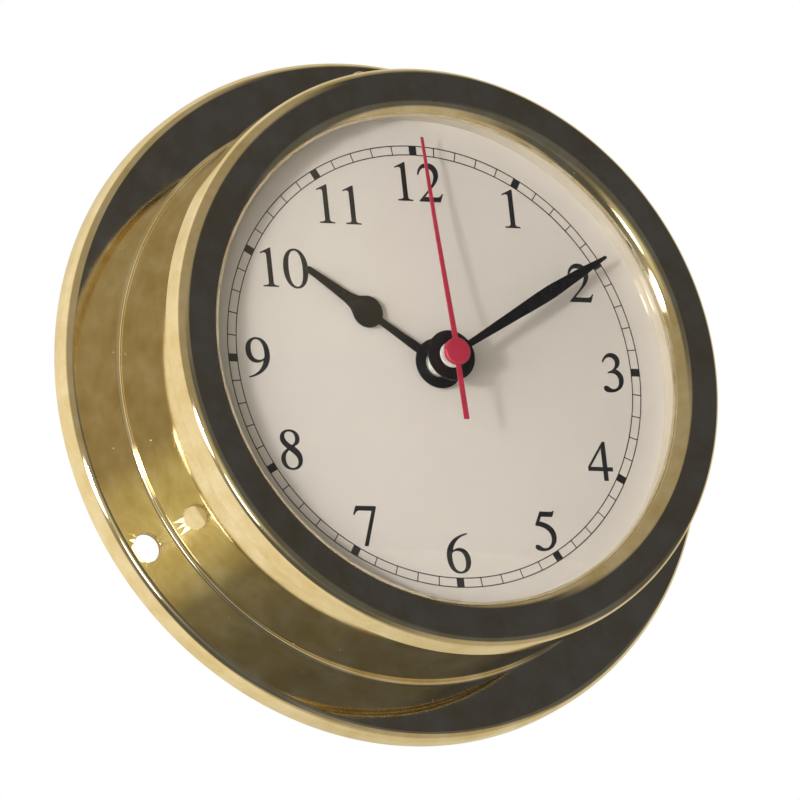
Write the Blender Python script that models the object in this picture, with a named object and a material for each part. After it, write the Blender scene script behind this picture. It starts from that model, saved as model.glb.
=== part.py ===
"""Bulkhead clock: a flanged brass case, a domed crystal and a battery movement with its wheels.

Every piece is modelled in the clock's own frame: X towards 3 o'clock, Y towards 12 o'clock and
Z out of the dial, measured from the wall. One empty stands that frame upright, so the dial
faces -Y, 12 o'clock is at +Z, and the world origin is the centre of the wall plane.
"""

import math
from typing import NamedTuple

import bmesh
import bpy

MM = 0.001

# Fits between neighbouring pieces
SEAT_GAP = 0.3 * MM
RUNNING_GAP = 0.3 * MM
LAYER_GAP = 0.4 * MM

# Case: one turned and spun brass shell, open at the back
FLANGE_RADIUS = 63.5 * MM
FLANGE_DEPTH = 4.7 * MM
FLANGE_FILLET = 1.5 * MM
CASE_WALL = 1.0 * MM
DRUM_RADIUS = 53.0 * MM
DRUM_DEPTH = 25.2 * MM
ROOT_FILLET = 1.5 * MM
SCREW_HOLE_RADIUS = 2.6 * MM
SCREW_HOLE_MARGIN = 0.5 * MM
SCREW_HOLE_HOURS = (12.05, 3.6, 8.0)

# Seat ring pressed into the drum, which carries the dial and the movement
SEAT_DROP = 4.6 * MM
SEAT_THICKNESS = 2.0 * MM
SEAT_WIDTH = 4.2 * MM

# Bezel: its spigot plugs into the drum around the dial
BEZEL_OVERHANG = 0.55 * MM
BEZEL_HEIGHT = 5.0 * MM
BEZEL_FILLET = 1.0 * MM
BEZEL_FLAT_WIDTH = 4.85 * MM
SPIGOT_WALL = 2.1 * MM
SLOPE_WIDTH = 2.7 * MM
LIP_LAND = 0.4 * MM
SLOPE_START = math.radians(22.0)
SLOPE_END = math.radians(50.0)
SEAL_SECTION = 0.55 * MM
SEAL_HEIGHT_SHARE = 0.5

# Crystal, and the polished ring that shows behind it
CRYSTAL_THICKNESS = 1.5 * MM
CRYSTAL_BITE = 2.0 * MM
DOME_CLEARANCE = 1.2 * MM
REFLECTOR_REVEAL = 0.5 * MM
REFLECTOR_WALL = 0.6 * MM
REFLECTOR_FOOT = 1.0 * MM
GASKET_WIDTH = 0.6 * MM

# Dial, and the dished plate behind it
DIAL_THICKNESS = 0.8 * MM
CARRIER_SHEET = 1.0 * MM
CARRIER_RIM_WIDTH = 7.3 * MM
CARRIER_CONE_RUN = 6.0 * MM
CARRIER_DISH = 4.0 * MM

# Movement housing
HOUSING_SIDE = 56.0 * MM
HOUSING_DEPTH = 13.4 * MM
HOUSING_WALL = 1.2 * MM
HOUSING_CORNER = 6.0 * MM
INNER_CORNER = 1.0 * MM
COVER_THICKNESS = 1.3 * MM
BEARING_BOSS_RADIUS = 1.2 * MM
BUSH_RADIUS = 4.0 * MM
BUSH_SPARE = 0.2 * MM
WASHER_THICKNESS = 0.5 * MM
WASHER_RADIUS = 7.0 * MM
NUT_THICKNESS = 2.0 * MM
NUT_ACROSS_FLATS = 11.0 * MM
PILLAR_RADIUS = 1.2 * MM
MOTION_POST_RADIUS = 0.6 * MM

# Battery and its contacts
BATTERY_RADIUS = 7.1 * MM
BATTERY_BODY = 49.2 * MM
BATTERY_NUB_RADIUS = 2.6 * MM
BATTERY_NUB_HEIGHT = 1.0 * MM
BATTERY_SIDE_CLEARANCE = 0.6 * MM
CONTACT_SHEET = 0.35 * MM
CONTACT_WIDTH = 9.0 * MM
CONTACT_HEIGHT = 10.0 * MM
CONTACT_BUMP_RADIUS = 2.0 * MM

# Wheels: tooth counts, modules and the directions of the arbors about their driving axis
WHEEL_THICKNESS = 0.8 * MM
ADDENDUM = 1.0
DEDENDUM = 1.25
ROTOR_LEAVES = 6
INTERMEDIATE_TEETH = 36
ROTOR_MODULE = 0.45 * MM
INTERMEDIATE_LEAVES = 6
SECOND_TEETH = 30
INTERMEDIATE_MODULE = 0.6 * MM
SECOND_LEAVES = 6
THIRD_TEETH = 45
SECOND_MODULE = 0.4 * MM
THIRD_LEAVES = 6
MINUTE_TEETH = 48
MINUTE_LEAVES = 10
MOTION_TEETH = 30
MOTION_LEAVES = 8
HOUR_TEETH = 32
MOTION_MODULE = 0.45 * MM
KNOB_LEAVES = 10
THIRD_DIRECTION = math.radians(126.0)
MOTION_DIRECTION = math.radians(180.0)
KNOB_DIRECTION = math.radians(190.0)
INTERMEDIATE_DIRECTION = math.radians(20.0)
ROTOR_DIRECTION = math.radians(60.0)

# Arbors, pipes, magnet, stator, coil and electronics
SECOND_ARBOR_RADIUS = 0.5 * MM
MINUTE_PIPE_WALL = 0.65 * MM
HOUR_PIPE_WALL = 0.5 * MM
THIN_ARBOR_RADIUS = 0.4 * MM
MAGNET_RADIUS = 2.6 * MM
MAGNET_THICKNESS = 2.8 * MM
STATOR_SHEET = 0.8 * MM
STATOR_ARM = 2.6 * MM
STATOR_POLE_REACH = 7.5 * MM
STATOR_POLE_HALF_WIDTH = 4.0 * MM
COIL_RADIUS = 2.8 * MM
COIL_FLANGE_RADIUS = 3.1 * MM
COIL_FLANGE_THICKNESS = 0.6 * MM
BOARD_THICKNESS = 1.0 * MM
BOARD_WIDTH = 8.0 * MM
QUARTZ_RADIUS = 1.0 * MM
QUARTZ_LENGTH = 6.0 * MM
KNOB_RADIUS = 5.0 * MM
KNOB_THICKNESS = 1.0 * MM
KNOB_FLUTES = 12
KNOB_FLUTE_DEPTH = 0.5 * MM
KNOB_SHAFT_RADIUS = 1.2 * MM

# Hands: heights above the dial, outlines bent down to follow the crystal, and the time shown
HAND_SHEET = 0.3 * MM
HAND_TIP_GAP = 0.3 * MM
HAND_PASSING_GAP = 0.45 * MM
HAND_HUB_RADIUS = 4.6 * MM
PIPE_PROUD = 0.2 * MM
HOUR_HAND_RISE = 1.0 * MM
MINUTE_HAND_RISE = 5.75 * MM
SECOND_HAND_RISE = 7.95 * MM
HOUR_HAND_LENGTH = 29.4 * MM
HOUR_STEM_HALF_WIDTH = 0.8 * MM
HOUR_PEAR_RADIUS = 2.95 * MM
HOUR_PEAR_CENTRE = 15.9 * MM
HOUR_PEAR_SHOULDER = math.radians(35.0)
HOUR_NECK = 22.0 * MM
HOUR_TIP_HALF_WIDTH = 0.6 * MM
MINUTE_TIP_MARGIN = 4.7 * MM
MINUTE_ROOT_HALF_WIDTH = 0.62 * MM
MINUTE_BELLY_HALF_WIDTH = 1.27 * MM
MINUTE_BELLY = 25.0 * MM
MINUTE_TIP_HALF_WIDTH = 0.3 * MM
SECOND_TIP_MARGIN = 4.0 * MM
SECOND_HAND_BEND = 24.0 * MM
SECOND_BEND_DROP = 2.6 * MM
SECOND_TAIL_LENGTH = 12.6 * MM
SECOND_TAIL_LIFT = 0.8 * MM
SECOND_TIP_HALF_WIDTH = 0.25 * MM
SECOND_TAIL_HALF_WIDTH = 0.5 * MM
SECOND_CAP_RADIUS = 2.72 * MM
SECOND_CAP_HEIGHT = 0.5 * MM
SECOND_CAP_FILLET = 0.2 * MM
SECOND_TUBE_RADIUS = 1.2 * MM
HOUR_HAND_ANGLE = math.radians(304.65)
MINUTE_HAND_ANGLE = math.radians(59.6)
SECOND_HAND_ANGLE = math.radians(359.95)

# Facets round a full turn
CASE_FACETS = 48
PLATE_FACETS = 40
DETAIL_FACETS = 12
ARC_STEPS = 3

ADD = "UNION"
CUT = "DIFFERENCE"
FULL_TURN = 2.0 * math.pi
QUARTER_TURN = 0.5 * math.pi
WELD_DISTANCE = 1e-7


class Finish(NamedTuple):
    """Colour and surface of one kind of piece."""

    name: str
    colour: tuple
    metallic: float
    roughness: float
    transmission: float = 0.0


BRASS = Finish("polished_brass", (0.80, 0.62, 0.30), 1.0, 0.12)
GLASS = Finish("clear_glass", (0.98, 0.98, 0.98), 0.0, 0.02, 1.0)
RUBBER = Finish("black_rubber", (0.03, 0.03, 0.03), 0.0, 0.7)
DIAL_WHITE = Finish("dial_paint", (0.80, 0.77, 0.72), 0.0, 0.45)
ZINC = Finish("zinc_plated_steel", (0.62, 0.63, 0.64), 1.0, 0.35)
BLACK_PLASTIC = Finish("black_moulding", (0.03, 0.03, 0.032), 0.0, 0.45)
WHITE_PLASTIC = Finish("white_acetal", (0.85, 0.84, 0.80), 0.0, 0.4)
CLEAR_PLASTIC = Finish("natural_plastic", (0.75, 0.75, 0.70), 0.0, 0.35)
BLACK_ENAMEL = Finish("black_enamel", (0.012, 0.012, 0.012), 0.0, 0.25)
RED_ENAMEL = Finish("red_enamel", (0.55, 0.03, 0.07), 0.0, 0.35)
MAGNET = Finish("magnet_ferrite", (0.12, 0.12, 0.13), 0.4, 0.5)
COPPER = Finish("copper_winding", (0.72, 0.36, 0.18), 1.0, 0.4)
BOARD = Finish("circuit_laminate", (0.35, 0.24, 0.10), 0.0, 0.5)
BATTERY_JACKET = Finish("battery_jacket", (0.30, 0.31, 0.33), 0.3, 0.4)


# Mesh helpers

def ring_edges(bm, points):
    """Add a closed loop of vertices and edges to a mesh."""
    verts = [bm.verts.new(point) for point in points]
    for index, vert in enumerate(verts):
        bm.edges.new((vert, verts[(index + 1) % len(verts)]))
    return verts


def turned(profile, facets=CASE_FACETS):
    """Spin a (radius, height) outline about Z; an outline that ends on the axis stays open."""
    bm = bmesh.new()
    points = [(radius, 0.0, height) for radius, height in profile]
    touches_axis = profile[0][0] == 0.0 and profile[-1][0] == 0.0
    if touches_axis:
        verts = [bm.verts.new(point) for point in points]
        for first, second in zip(verts, verts[1:]):
            bm.edges.new((first, second))
    else:
        ring_edges(bm, points)
    bmesh.ops.spin(
        bm, geom=bm.verts[:] + bm.edges[:], cent=(0, 0, 0), axis=(0, 0, 1),
        angle=FULL_TURN, steps=facets, use_merge=True,
    )
    bmesh.ops.remove_doubles(bm, verts=bm.verts[:], dist=WELD_DISTANCE)
    bmesh.ops.recalc_face_normals(bm, faces=bm.faces[:])
    return bm


def prism(outlines, bottom, top):
    """Extrude a flat face, given as its outer outline and any hole outlines."""
    bm = bmesh.new()
    for outline in outlines:
        ring_edges(bm, [(x, y, bottom) for x, y in outline])
    bmesh.ops.triangle_fill(bm, edges=bm.edges[:], use_beauty=True)
    raised = bmesh.ops.extrude_face_region(bm, geom=bm.faces[:])
    verts = [item for item in raised["geom"] if isinstance(item, bmesh.types.BMVert)]
    bmesh.ops.translate(bm, verts=verts, vec=(0.0, 0.0, top - bottom))
    bmesh.ops.recalc_face_normals(bm, faces=bm.faces[:])
    return bm


def cylinder(radius, bottom, top, centre=(0.0, 0.0), facets=DETAIL_FACETS):
    """Return a plain round bar standing on its end."""
    return prism([circle(radius, centre, facets)], bottom, top)


def material(finish):
    """Return the Principled material of a finish, made once."""
    found = bpy.data.materials.get(finish.name)
    if found is not None:
        return found
    made = bpy.data.materials.new(finish.name)
    made.use_nodes = True
    shader = made.node_tree.nodes["Principled BSDF"]
    shader.inputs["Base Color"].default_value = (*finish.colour, 1.0)
    shader.inputs["Metallic"].default_value = finish.metallic
    shader.inputs["Roughness"].default_value = finish.roughness
    shader.inputs["Transmission Weight"].default_value = finish.transmission
    return made


def mesh_object(name, bm, place, turn=0.0):
    """Turn a bmesh into an object of the clock frame at a place, turned about Z."""
    mesh = bpy.data.meshes.new(name)
    bm.to_mesh(mesh)
    bm.free()
    mesh.shade_smooth()
    mesh.set_sharp_from_angle(angle=math.radians(30.0))
    made = bpy.data.objects.new(name, mesh)
    bpy.context.scene.collection.objects.link(made)
    made.parent = bpy.data.objects["clock_frame"]
    made.location = place
    made.rotation_euler = (0.0, 0.0, turn)
    return made


def piece(name, bm, finish, place=(0.0, 0.0, 0.0), turn=0.0, steps=()):
    """Make one sub-part; steps holds (ADD or CUT, body) in the order they are applied."""
    made = mesh_object(name, bm, place, turn)
    made.data.materials.append(material(finish))
    for index, (operation, body) in enumerate(steps):
        tool = mesh_object(f"tool_{name}_{index}", body, place, turn)
        tool.hide_render = True
        tool.display_type = "WIRE"
        step = made.modifiers.new(f"step_{index}", "BOOLEAN")
        step.operation = operation
        step.solver = "EXACT"
        step.object = tool
    return made


# Outline helpers

def circle(radius, centre=(0.0, 0.0), facets=DETAIL_FACETS):
    """Return the points of a circle."""
    return [
        (centre[0] + radius * math.cos(FULL_TURN * step / facets),
         centre[1] + radius * math.sin(FULL_TURN * step / facets))
        for step in range(facets)
    ]


def arc(centre, radius, start, end, steps=ARC_STEPS):
    """Return the points of an arc, both ends included, angles from +X towards +Y."""
    return [
        (centre[0] + radius * math.cos(start + (end - start) * step / steps),
         centre[1] + radius * math.sin(start + (end - start) * step / steps))
        for step in range(steps + 1)
    ]


def rounded_rectangle(left, right, bottom, top, low_radius, high_radius):
    """Return a rectangle whose lower and upper pairs of corners have their own radii."""
    corners = (
        (right - low_radius, bottom + low_radius, low_radius, -QUARTER_TURN),
        (right - high_radius, top - high_radius, high_radius, 0.0),
        (left + high_radius, top - high_radius, high_radius, QUARTER_TURN),
        (left + low_radius, bottom + low_radius, low_radius, 2.0 * QUARTER_TURN),
    )
    outline = []
    for x, y, radius, start in corners:
        outline += arc((x, y), radius, start, start + QUARTER_TURN)
    return outline


def polar(distance, direction, origin=(0.0, 0.0)):
    """Return the point at a distance and direction from an origin."""
    return (origin[0] + distance * math.cos(direction), origin[1] + distance * math.sin(direction))


# Toothed wheels

# One tooth as (share of the pitch angle, height in modules above the pitch circle)
WHEEL_TOOTH = ((-0.28, -DEDENDUM), (-0.09, ADDENDUM), (0.09, ADDENDUM), (0.28, -DEDENDUM))
PINION_TOOTH = (
    (-0.19, -DEDENDUM), (-0.19, 0.0), (-0.08, ADDENDUM),
    (0.08, ADDENDUM), (0.19, 0.0), (0.19, -DEDENDUM),
)


def pitch_radius(teeth, module):
    """Return the pitch circle's radius."""
    return 0.5 * teeth * module


def tip_radius(teeth, module):
    """Return the radius over the tooth tips."""
    return pitch_radius(teeth, module) + ADDENDUM * module


def toothed(teeth, module, tooth):
    """Return a wheel's outline, with the first tooth centred on +X."""
    pitch = FULL_TURN / teeth
    outline = []
    for index in range(teeth):
        for share, height in tooth:
            radius = pitch_radius(teeth, module) + height * module
            outline.append(polar(radius, (index + share) * pitch))
    return outline


def meshed_turn(driver_turn, driver_teeth, teeth, direction):
    """Turn a wheel so that its gap meets the driver's tooth on the line between the axes."""
    driven = (driver_turn - direction) * driver_teeth / teeth
    return direction + math.pi + math.pi / teeth - driven


# Heights above the wall, from the drum's mouth back to the wall and out to the crystal

SEAT_FRONT = DRUM_DEPTH - SEAT_DROP
CARRIER_RIM_BACK = SEAT_FRONT + SEAT_GAP
CARRIER_FRONT = CARRIER_RIM_BACK + CARRIER_SHEET
DIAL_BACK = CARRIER_FRONT + SEAT_GAP
DIAL_FRONT = DIAL_BACK + DIAL_THICKNESS
DISH_BACK = CARRIER_RIM_BACK - CARRIER_DISH
DISH_FRONT = DISH_BACK + CARRIER_SHEET
HOUSING_FRONT = DISH_BACK - SEAT_GAP
HOUSING_BACK = HOUSING_FRONT - HOUSING_DEPTH
FLOOR = HOUSING_FRONT - HOUSING_WALL
COVER_FRONT = HOUSING_BACK - SEAT_GAP
COVER_BACK = COVER_FRONT - COVER_THICKNESS
WASHER_BACK = DISH_FRONT + SEAT_GAP
NUT_BACK = WASHER_BACK + WASHER_THICKNESS + SEAT_GAP
BUSH_FRONT = NUT_BACK + NUT_THICKNESS + BUSH_SPARE
BEZEL_BACK = DRUM_DEPTH + SEAT_GAP
BEZEL_FRONT = BEZEL_BACK + BEZEL_HEIGHT
SPIGOT_BACK = SEAT_FRONT + SEAT_GAP
HOUR_HAND_BACK = DIAL_FRONT + HOUR_HAND_RISE
MINUTE_HAND_BACK = DIAL_FRONT + MINUTE_HAND_RISE
SECOND_HAND_BACK = DIAL_FRONT + SECOND_HAND_RISE
CAP_BACK = SECOND_HAND_BACK - 0.5 * SEAT_GAP
CAP_FRONT = SECOND_HAND_BACK + HAND_SHEET + SECOND_CAP_HEIGHT
HOUR_PIPE_FRONT = HOUR_HAND_BACK + HAND_SHEET + PIPE_PROUD
MINUTE_PIPE_FRONT = MINUTE_HAND_BACK + HAND_SHEET + PIPE_PROUD

# Radii that follow from the pieces that fit inside one another
DRUM_BORE = DRUM_RADIUS - CASE_WALL
SPIGOT_RADIUS = DRUM_BORE - SEAT_GAP
DIAL_WELL_RADIUS = SPIGOT_RADIUS - SPIGOT_WALL
DIAL_RADIUS = DIAL_WELL_RADIUS - SEAT_GAP
BEZEL_RADIUS = DRUM_RADIUS + BEZEL_OVERHANG
FLAT_OUTER_RADIUS = BEZEL_RADIUS - BEZEL_FILLET
FLAT_INNER_RADIUS = FLAT_OUTER_RADIUS - BEZEL_FLAT_WIDTH
LIP_RADIUS = FLAT_INNER_RADIUS - SLOPE_WIDTH
CRYSTAL_RADIUS = LIP_RADIUS + CRYSTAL_BITE
CRYSTAL_WELL_RADIUS = CRYSTAL_RADIUS + SEAT_GAP
REFLECTOR_RADIUS = LIP_RADIUS + REFLECTOR_REVEAL
MINUTE_PIPE_BORE = SECOND_ARBOR_RADIUS + RUNNING_GAP
MINUTE_PIPE_RADIUS = MINUTE_PIPE_BORE + MINUTE_PIPE_WALL
HOUR_PIPE_BORE = MINUTE_PIPE_RADIUS + RUNNING_GAP
HOUR_PIPE_RADIUS = HOUR_PIPE_BORE + HOUR_PIPE_WALL
BUSH_BORE = HOUR_PIPE_RADIUS + RUNNING_GAP

# The bezel's inner slope is one arc that turns from the first tilt to the second
SLOPE_RADIUS = SLOPE_WIDTH / (math.sin(SLOPE_END) - math.sin(SLOPE_START))
LIP_FRONT = BEZEL_FRONT - SLOPE_RADIUS * (math.cos(SLOPE_START) - math.cos(SLOPE_END))
LIP_BACK = LIP_FRONT - LIP_LAND

# The crystal's dome clears the seconds cap and comes up under the lip
DOME_FRONT = CAP_FRONT + DOME_CLEARANCE + CRYSTAL_THICKNESS
DOME_RISE = DOME_FRONT - (LIP_BACK - SEAT_GAP)
DOME_RADIUS = (LIP_RADIUS ** 2 + DOME_RISE ** 2) / (2.0 * DOME_RISE)


def dome_height(radius, depth=0.0):
    """Return the height of the crystal's front, or of a surface a depth behind it."""
    sphere = DOME_RADIUS - depth
    return DOME_FRONT - depth - sphere + math.sqrt(sphere ** 2 - radius ** 2)


# The long hands end short of the lip, and bend down to pass under the dome and each other
SECOND_HAND_LENGTH = LIP_RADIUS - SECOND_TIP_MARGIN
MINUTE_HAND_LENGTH = LIP_RADIUS - MINUTE_TIP_MARGIN
SECOND_TIP_FRONT = dome_height(SECOND_HAND_LENGTH, CRYSTAL_THICKNESS) - HAND_TIP_GAP
MINUTE_TIP_FRONT = (
    dome_height(MINUTE_HAND_LENGTH, CRYSTAL_THICKNESS)
    - HAND_TIP_GAP - HAND_SHEET - HAND_PASSING_GAP
)
SECOND_TIP_DROP = SECOND_HAND_BACK + HAND_SHEET - SECOND_TIP_FRONT
MINUTE_HAND_DROP = MINUTE_HAND_BACK + HAND_SHEET - MINUTE_TIP_FRONT

# Wheel layers, from the housing's floor back towards the cover
HOUR_WHEEL_FRONT = FLOOR - LAYER_GAP
HOUR_WHEEL_BACK = HOUR_WHEEL_FRONT - WHEEL_THICKNESS
MOTION_WHEEL_FRONT = HOUR_WHEEL_BACK - LAYER_GAP
MOTION_WHEEL_BACK = MOTION_WHEEL_FRONT - WHEEL_THICKNESS
MINUTE_WHEEL_FRONT = MOTION_WHEEL_BACK - LAYER_GAP
MINUTE_WHEEL_BACK = MINUTE_WHEEL_FRONT - WHEEL_THICKNESS
THIRD_WHEEL_FRONT = MINUTE_WHEEL_BACK - LAYER_GAP
THIRD_WHEEL_BACK = THIRD_WHEEL_FRONT - WHEEL_THICKNESS
MID_PLATE_FRONT = THIRD_WHEEL_BACK - LAYER_GAP
MID_PLATE_BACK = MID_PLATE_FRONT - WHEEL_THICKNESS
SECOND_WHEEL_FRONT = MID_PLATE_BACK - LAYER_GAP
SECOND_WHEEL_BACK = SECOND_WHEEL_FRONT - WHEEL_THICKNESS
INTERMEDIATE_WHEEL_FRONT = SECOND_WHEEL_BACK - LAYER_GAP
INTERMEDIATE_WHEEL_BACK = INTERMEDIATE_WHEEL_FRONT - WHEEL_THICKNESS
ARBOR_END = INTERMEDIATE_WHEEL_BACK - LAYER_GAP
FLOOR_PIVOT = FLOOR - RUNNING_GAP
PLATE_PIVOT = MID_PLATE_FRONT + RUNNING_GAP

# Axes of the wheels in the plane of the dial
THIRD_DISTANCE = pitch_radius(SECOND_LEAVES + THIRD_TEETH, SECOND_MODULE)
MINUTE_MODULE = 2.0 * THIRD_DISTANCE / (THIRD_LEAVES + MINUTE_TEETH)
MOTION_DISTANCE = pitch_radius(MINUTE_LEAVES + MOTION_TEETH, MOTION_MODULE)
HOUR_MODULE = 2.0 * MOTION_DISTANCE / (MOTION_LEAVES + HOUR_TEETH)
KNOB_DISTANCE = pitch_radius(MOTION_TEETH + KNOB_LEAVES, MOTION_MODULE)
INTERMEDIATE_DISTANCE = pitch_radius(INTERMEDIATE_LEAVES + SECOND_TEETH, INTERMEDIATE_MODULE)
ROTOR_DISTANCE = pitch_radius(ROTOR_LEAVES + INTERMEDIATE_TEETH, ROTOR_MODULE)
THIRD_AXIS = polar(THIRD_DISTANCE, THIRD_DIRECTION)
MOTION_AXIS = polar(MOTION_DISTANCE, MOTION_DIRECTION)
KNOB_AXIS = polar(KNOB_DISTANCE, KNOB_DIRECTION, MOTION_AXIS)
INTERMEDIATE_AXIS = polar(INTERMEDIATE_DISTANCE, INTERMEDIATE_DIRECTION)
ROTOR_AXIS = polar(ROTOR_DISTANCE, ROTOR_DIRECTION, INTERMEDIATE_AXIS)

# Turns that put every pair of wheels in mesh, counted from the seconds wheel at rest
SECOND_TURN = 0.0
THIRD_TURN = meshed_turn(SECOND_TURN, SECOND_LEAVES, THIRD_TEETH, THIRD_DIRECTION)
MINUTE_TURN = meshed_turn(THIRD_TURN, THIRD_LEAVES, MINUTE_TEETH, THIRD_DIRECTION + math.pi)
MOTION_TURN = meshed_turn(MINUTE_TURN, MINUTE_LEAVES, MOTION_TEETH, MOTION_DIRECTION)
HOUR_TURN = meshed_turn(MOTION_TURN, MOTION_LEAVES, HOUR_TEETH, MOTION_DIRECTION + math.pi)
KNOB_TURN = meshed_turn(MOTION_TURN, MOTION_TEETH, KNOB_LEAVES, KNOB_DIRECTION)
INTERMEDIATE_TURN = meshed_turn(
    SECOND_TURN, SECOND_TEETH, INTERMEDIATE_LEAVES, INTERMEDIATE_DIRECTION
)
ROTOR_TURN = meshed_turn(INTERMEDIATE_TURN, INTERMEDIATE_TEETH, ROTOR_LEAVES, ROTOR_DIRECTION)

# Pillars of the middle plate, each just clear of the wheel that it stands beside
PILLAR_AXES = (
    polar(tip_radius(THIRD_TEETH, SECOND_MODULE) + PILLAR_RADIUS + LAYER_GAP,
          math.radians(140.0), THIRD_AXIS),
    polar(tip_radius(THIRD_TEETH, SECOND_MODULE) + PILLAR_RADIUS + LAYER_GAP,
          math.radians(46.0), THIRD_AXIS),
    polar(tip_radius(MINUTE_TEETH, MINUTE_MODULE) + PILLAR_RADIUS + LAYER_GAP,
          math.radians(-32.0)),
    polar(tip_radius(MOTION_TEETH, MOTION_MODULE) + PILLAR_RADIUS + LAYER_GAP,
          math.radians(-119.0), MOTION_AXIS),
)

# The battery bay lies along the housing's lower edge, the wheels in the bay above it
HALF_SIDE = 0.5 * HOUSING_SIDE
BAY_EDGE = HALF_SIDE - HOUSING_WALL
BATTERY_BAY_TOP = -BAY_EDGE + 2.0 * (BATTERY_RADIUS + BATTERY_SIDE_CLEARANCE)
BATTERY_CENTRE = -BAY_EDGE + BATTERY_RADIUS + BATTERY_SIDE_CLEARANCE
BATTERY_AXIS_HEIGHT = FLOOR - SEAT_GAP - BATTERY_RADIUS
BATTERY_LENGTH = BATTERY_BODY + BATTERY_NUB_HEIGHT
WHEEL_BAY_BOTTOM = BATTERY_BAY_TOP + HOUSING_WALL
COIL_CENTRE = BAY_EDGE - SEAT_GAP - COIL_FLANGE_RADIUS
STATOR_LEFT = ROTOR_AXIS[0] - STATOR_POLE_REACH
STATOR_RIGHT = ROTOR_AXIS[0] + STATOR_POLE_REACH
STATOR_MID = FLOOR_PIVOT - COIL_FLANGE_RADIUS


# Case, bezel and crystal

def make_case_shell():
    """Flanged drum with three screw holes, open towards the wall."""
    inner_fillet = FLANGE_FILLET - CASE_WALL
    face_back = FLANGE_DEPTH - CASE_WALL
    root_centre = (DRUM_RADIUS + ROOT_FILLET, FLANGE_DEPTH + ROOT_FILLET)
    profile = [(FLANGE_RADIUS, 0.0)]
    profile += arc((FLANGE_RADIUS - FLANGE_FILLET, FLANGE_DEPTH - FLANGE_FILLET),
                   FLANGE_FILLET, 0.0, QUARTER_TURN)
    profile += arc(root_centre, ROOT_FILLET, -QUARTER_TURN, -2.0 * QUARTER_TURN)
    profile += [(DRUM_RADIUS, DRUM_DEPTH), (DRUM_BORE, DRUM_DEPTH)]
    profile += arc(root_centre, ROOT_FILLET + CASE_WALL, -2.0 * QUARTER_TURN, -QUARTER_TURN)
    profile += arc((FLANGE_RADIUS - FLANGE_FILLET, face_back - inner_fillet),
                   inner_fillet, QUARTER_TURN, 0.0, 2)
    profile += [(FLANGE_RADIUS - CASE_WALL, 0.0)]
    hole_circle = FLANGE_RADIUS - FLANGE_FILLET - SCREW_HOLE_MARGIN - SCREW_HOLE_RADIUS
    holes = []
    for hour in SCREW_HOLE_HOURS:
        centre = polar(hole_circle, QUARTER_TURN - FULL_TURN * hour / 12.0)
        holes.append((CUT, cylinder(SCREW_HOLE_RADIUS, 0.0, FLANGE_DEPTH + CASE_WALL, centre)))
    piece("case_shell", turned(profile), BRASS, steps=holes)


def make_seat_ring():
    """Ring inside the drum on which the dial and the movement rest."""
    outer = DRUM_BORE - SEAT_GAP
    back = SEAT_FRONT - SEAT_THICKNESS
    profile = [(outer, back), (outer, SEAT_FRONT),
               (outer - SEAT_WIDTH, SEAT_FRONT), (outer - SEAT_WIDTH, back)]
    piece("seat_ring", turned(profile), BRASS)


def make_bezel_ring():
    """Bezel with a flat face, an inner slope down to the glass and a grooved spigot."""
    slope_centre = (FLAT_INNER_RADIUS + SLOPE_RADIUS * math.sin(SLOPE_START),
                    BEZEL_FRONT - SLOPE_RADIUS * math.cos(SLOPE_START))
    groove_middle = SPIGOT_BACK + SEAL_HEIGHT_SHARE * (BEZEL_BACK - SPIGOT_BACK)
    groove_half = SEAL_SECTION + SEAT_GAP
    groove_radius = SPIGOT_RADIUS - 2.0 * SEAL_SECTION - SEAT_GAP
    profile = arc(slope_centre, SLOPE_RADIUS, QUARTER_TURN + SLOPE_END, QUARTER_TURN + SLOPE_START)
    profile += arc((FLAT_OUTER_RADIUS, BEZEL_FRONT - BEZEL_FILLET),
                   BEZEL_FILLET, QUARTER_TURN, 0.0)
    profile += [
        (BEZEL_RADIUS, BEZEL_BACK),
        (SPIGOT_RADIUS, BEZEL_BACK),
        (SPIGOT_RADIUS, groove_middle + groove_half),
        (groove_radius, groove_middle + groove_half),
        (groove_radius, groove_middle - groove_half),
        (SPIGOT_RADIUS, groove_middle - groove_half),
        (SPIGOT_RADIUS, SPIGOT_BACK),
        (DIAL_WELL_RADIUS, SPIGOT_BACK),
        (DIAL_WELL_RADIUS, DIAL_FRONT + SEAT_GAP),
        (CRYSTAL_WELL_RADIUS, DIAL_FRONT + SEAT_GAP),
        (CRYSTAL_WELL_RADIUS, dome_height(CRYSTAL_WELL_RADIUS) + SEAT_GAP),
        (LIP_RADIUS, LIP_BACK),
    ]
    piece("bezel_ring", turned(profile), BRASS)
    seal_radius = groove_radius + SEAT_GAP + SEAL_SECTION
    section = arc((seal_radius, groove_middle), SEAL_SECTION, 0.0, FULL_TURN, 6)[:-1]
    piece("bezel_seal", turned(section), RUBBER)


def make_crystal():
    """Domed glass of even thickness, its rim under the bezel's lip."""
    stations = [CRYSTAL_RADIUS * step / 4.0 for step in range(5)]
    profile = [(radius, dome_height(radius)) for radius in stations]
    profile += [(radius, dome_height(radius, CRYSTAL_THICKNESS)) for radius in reversed(stations)]
    piece("crystal", turned(profile, PLATE_FACETS), GLASS)


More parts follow.
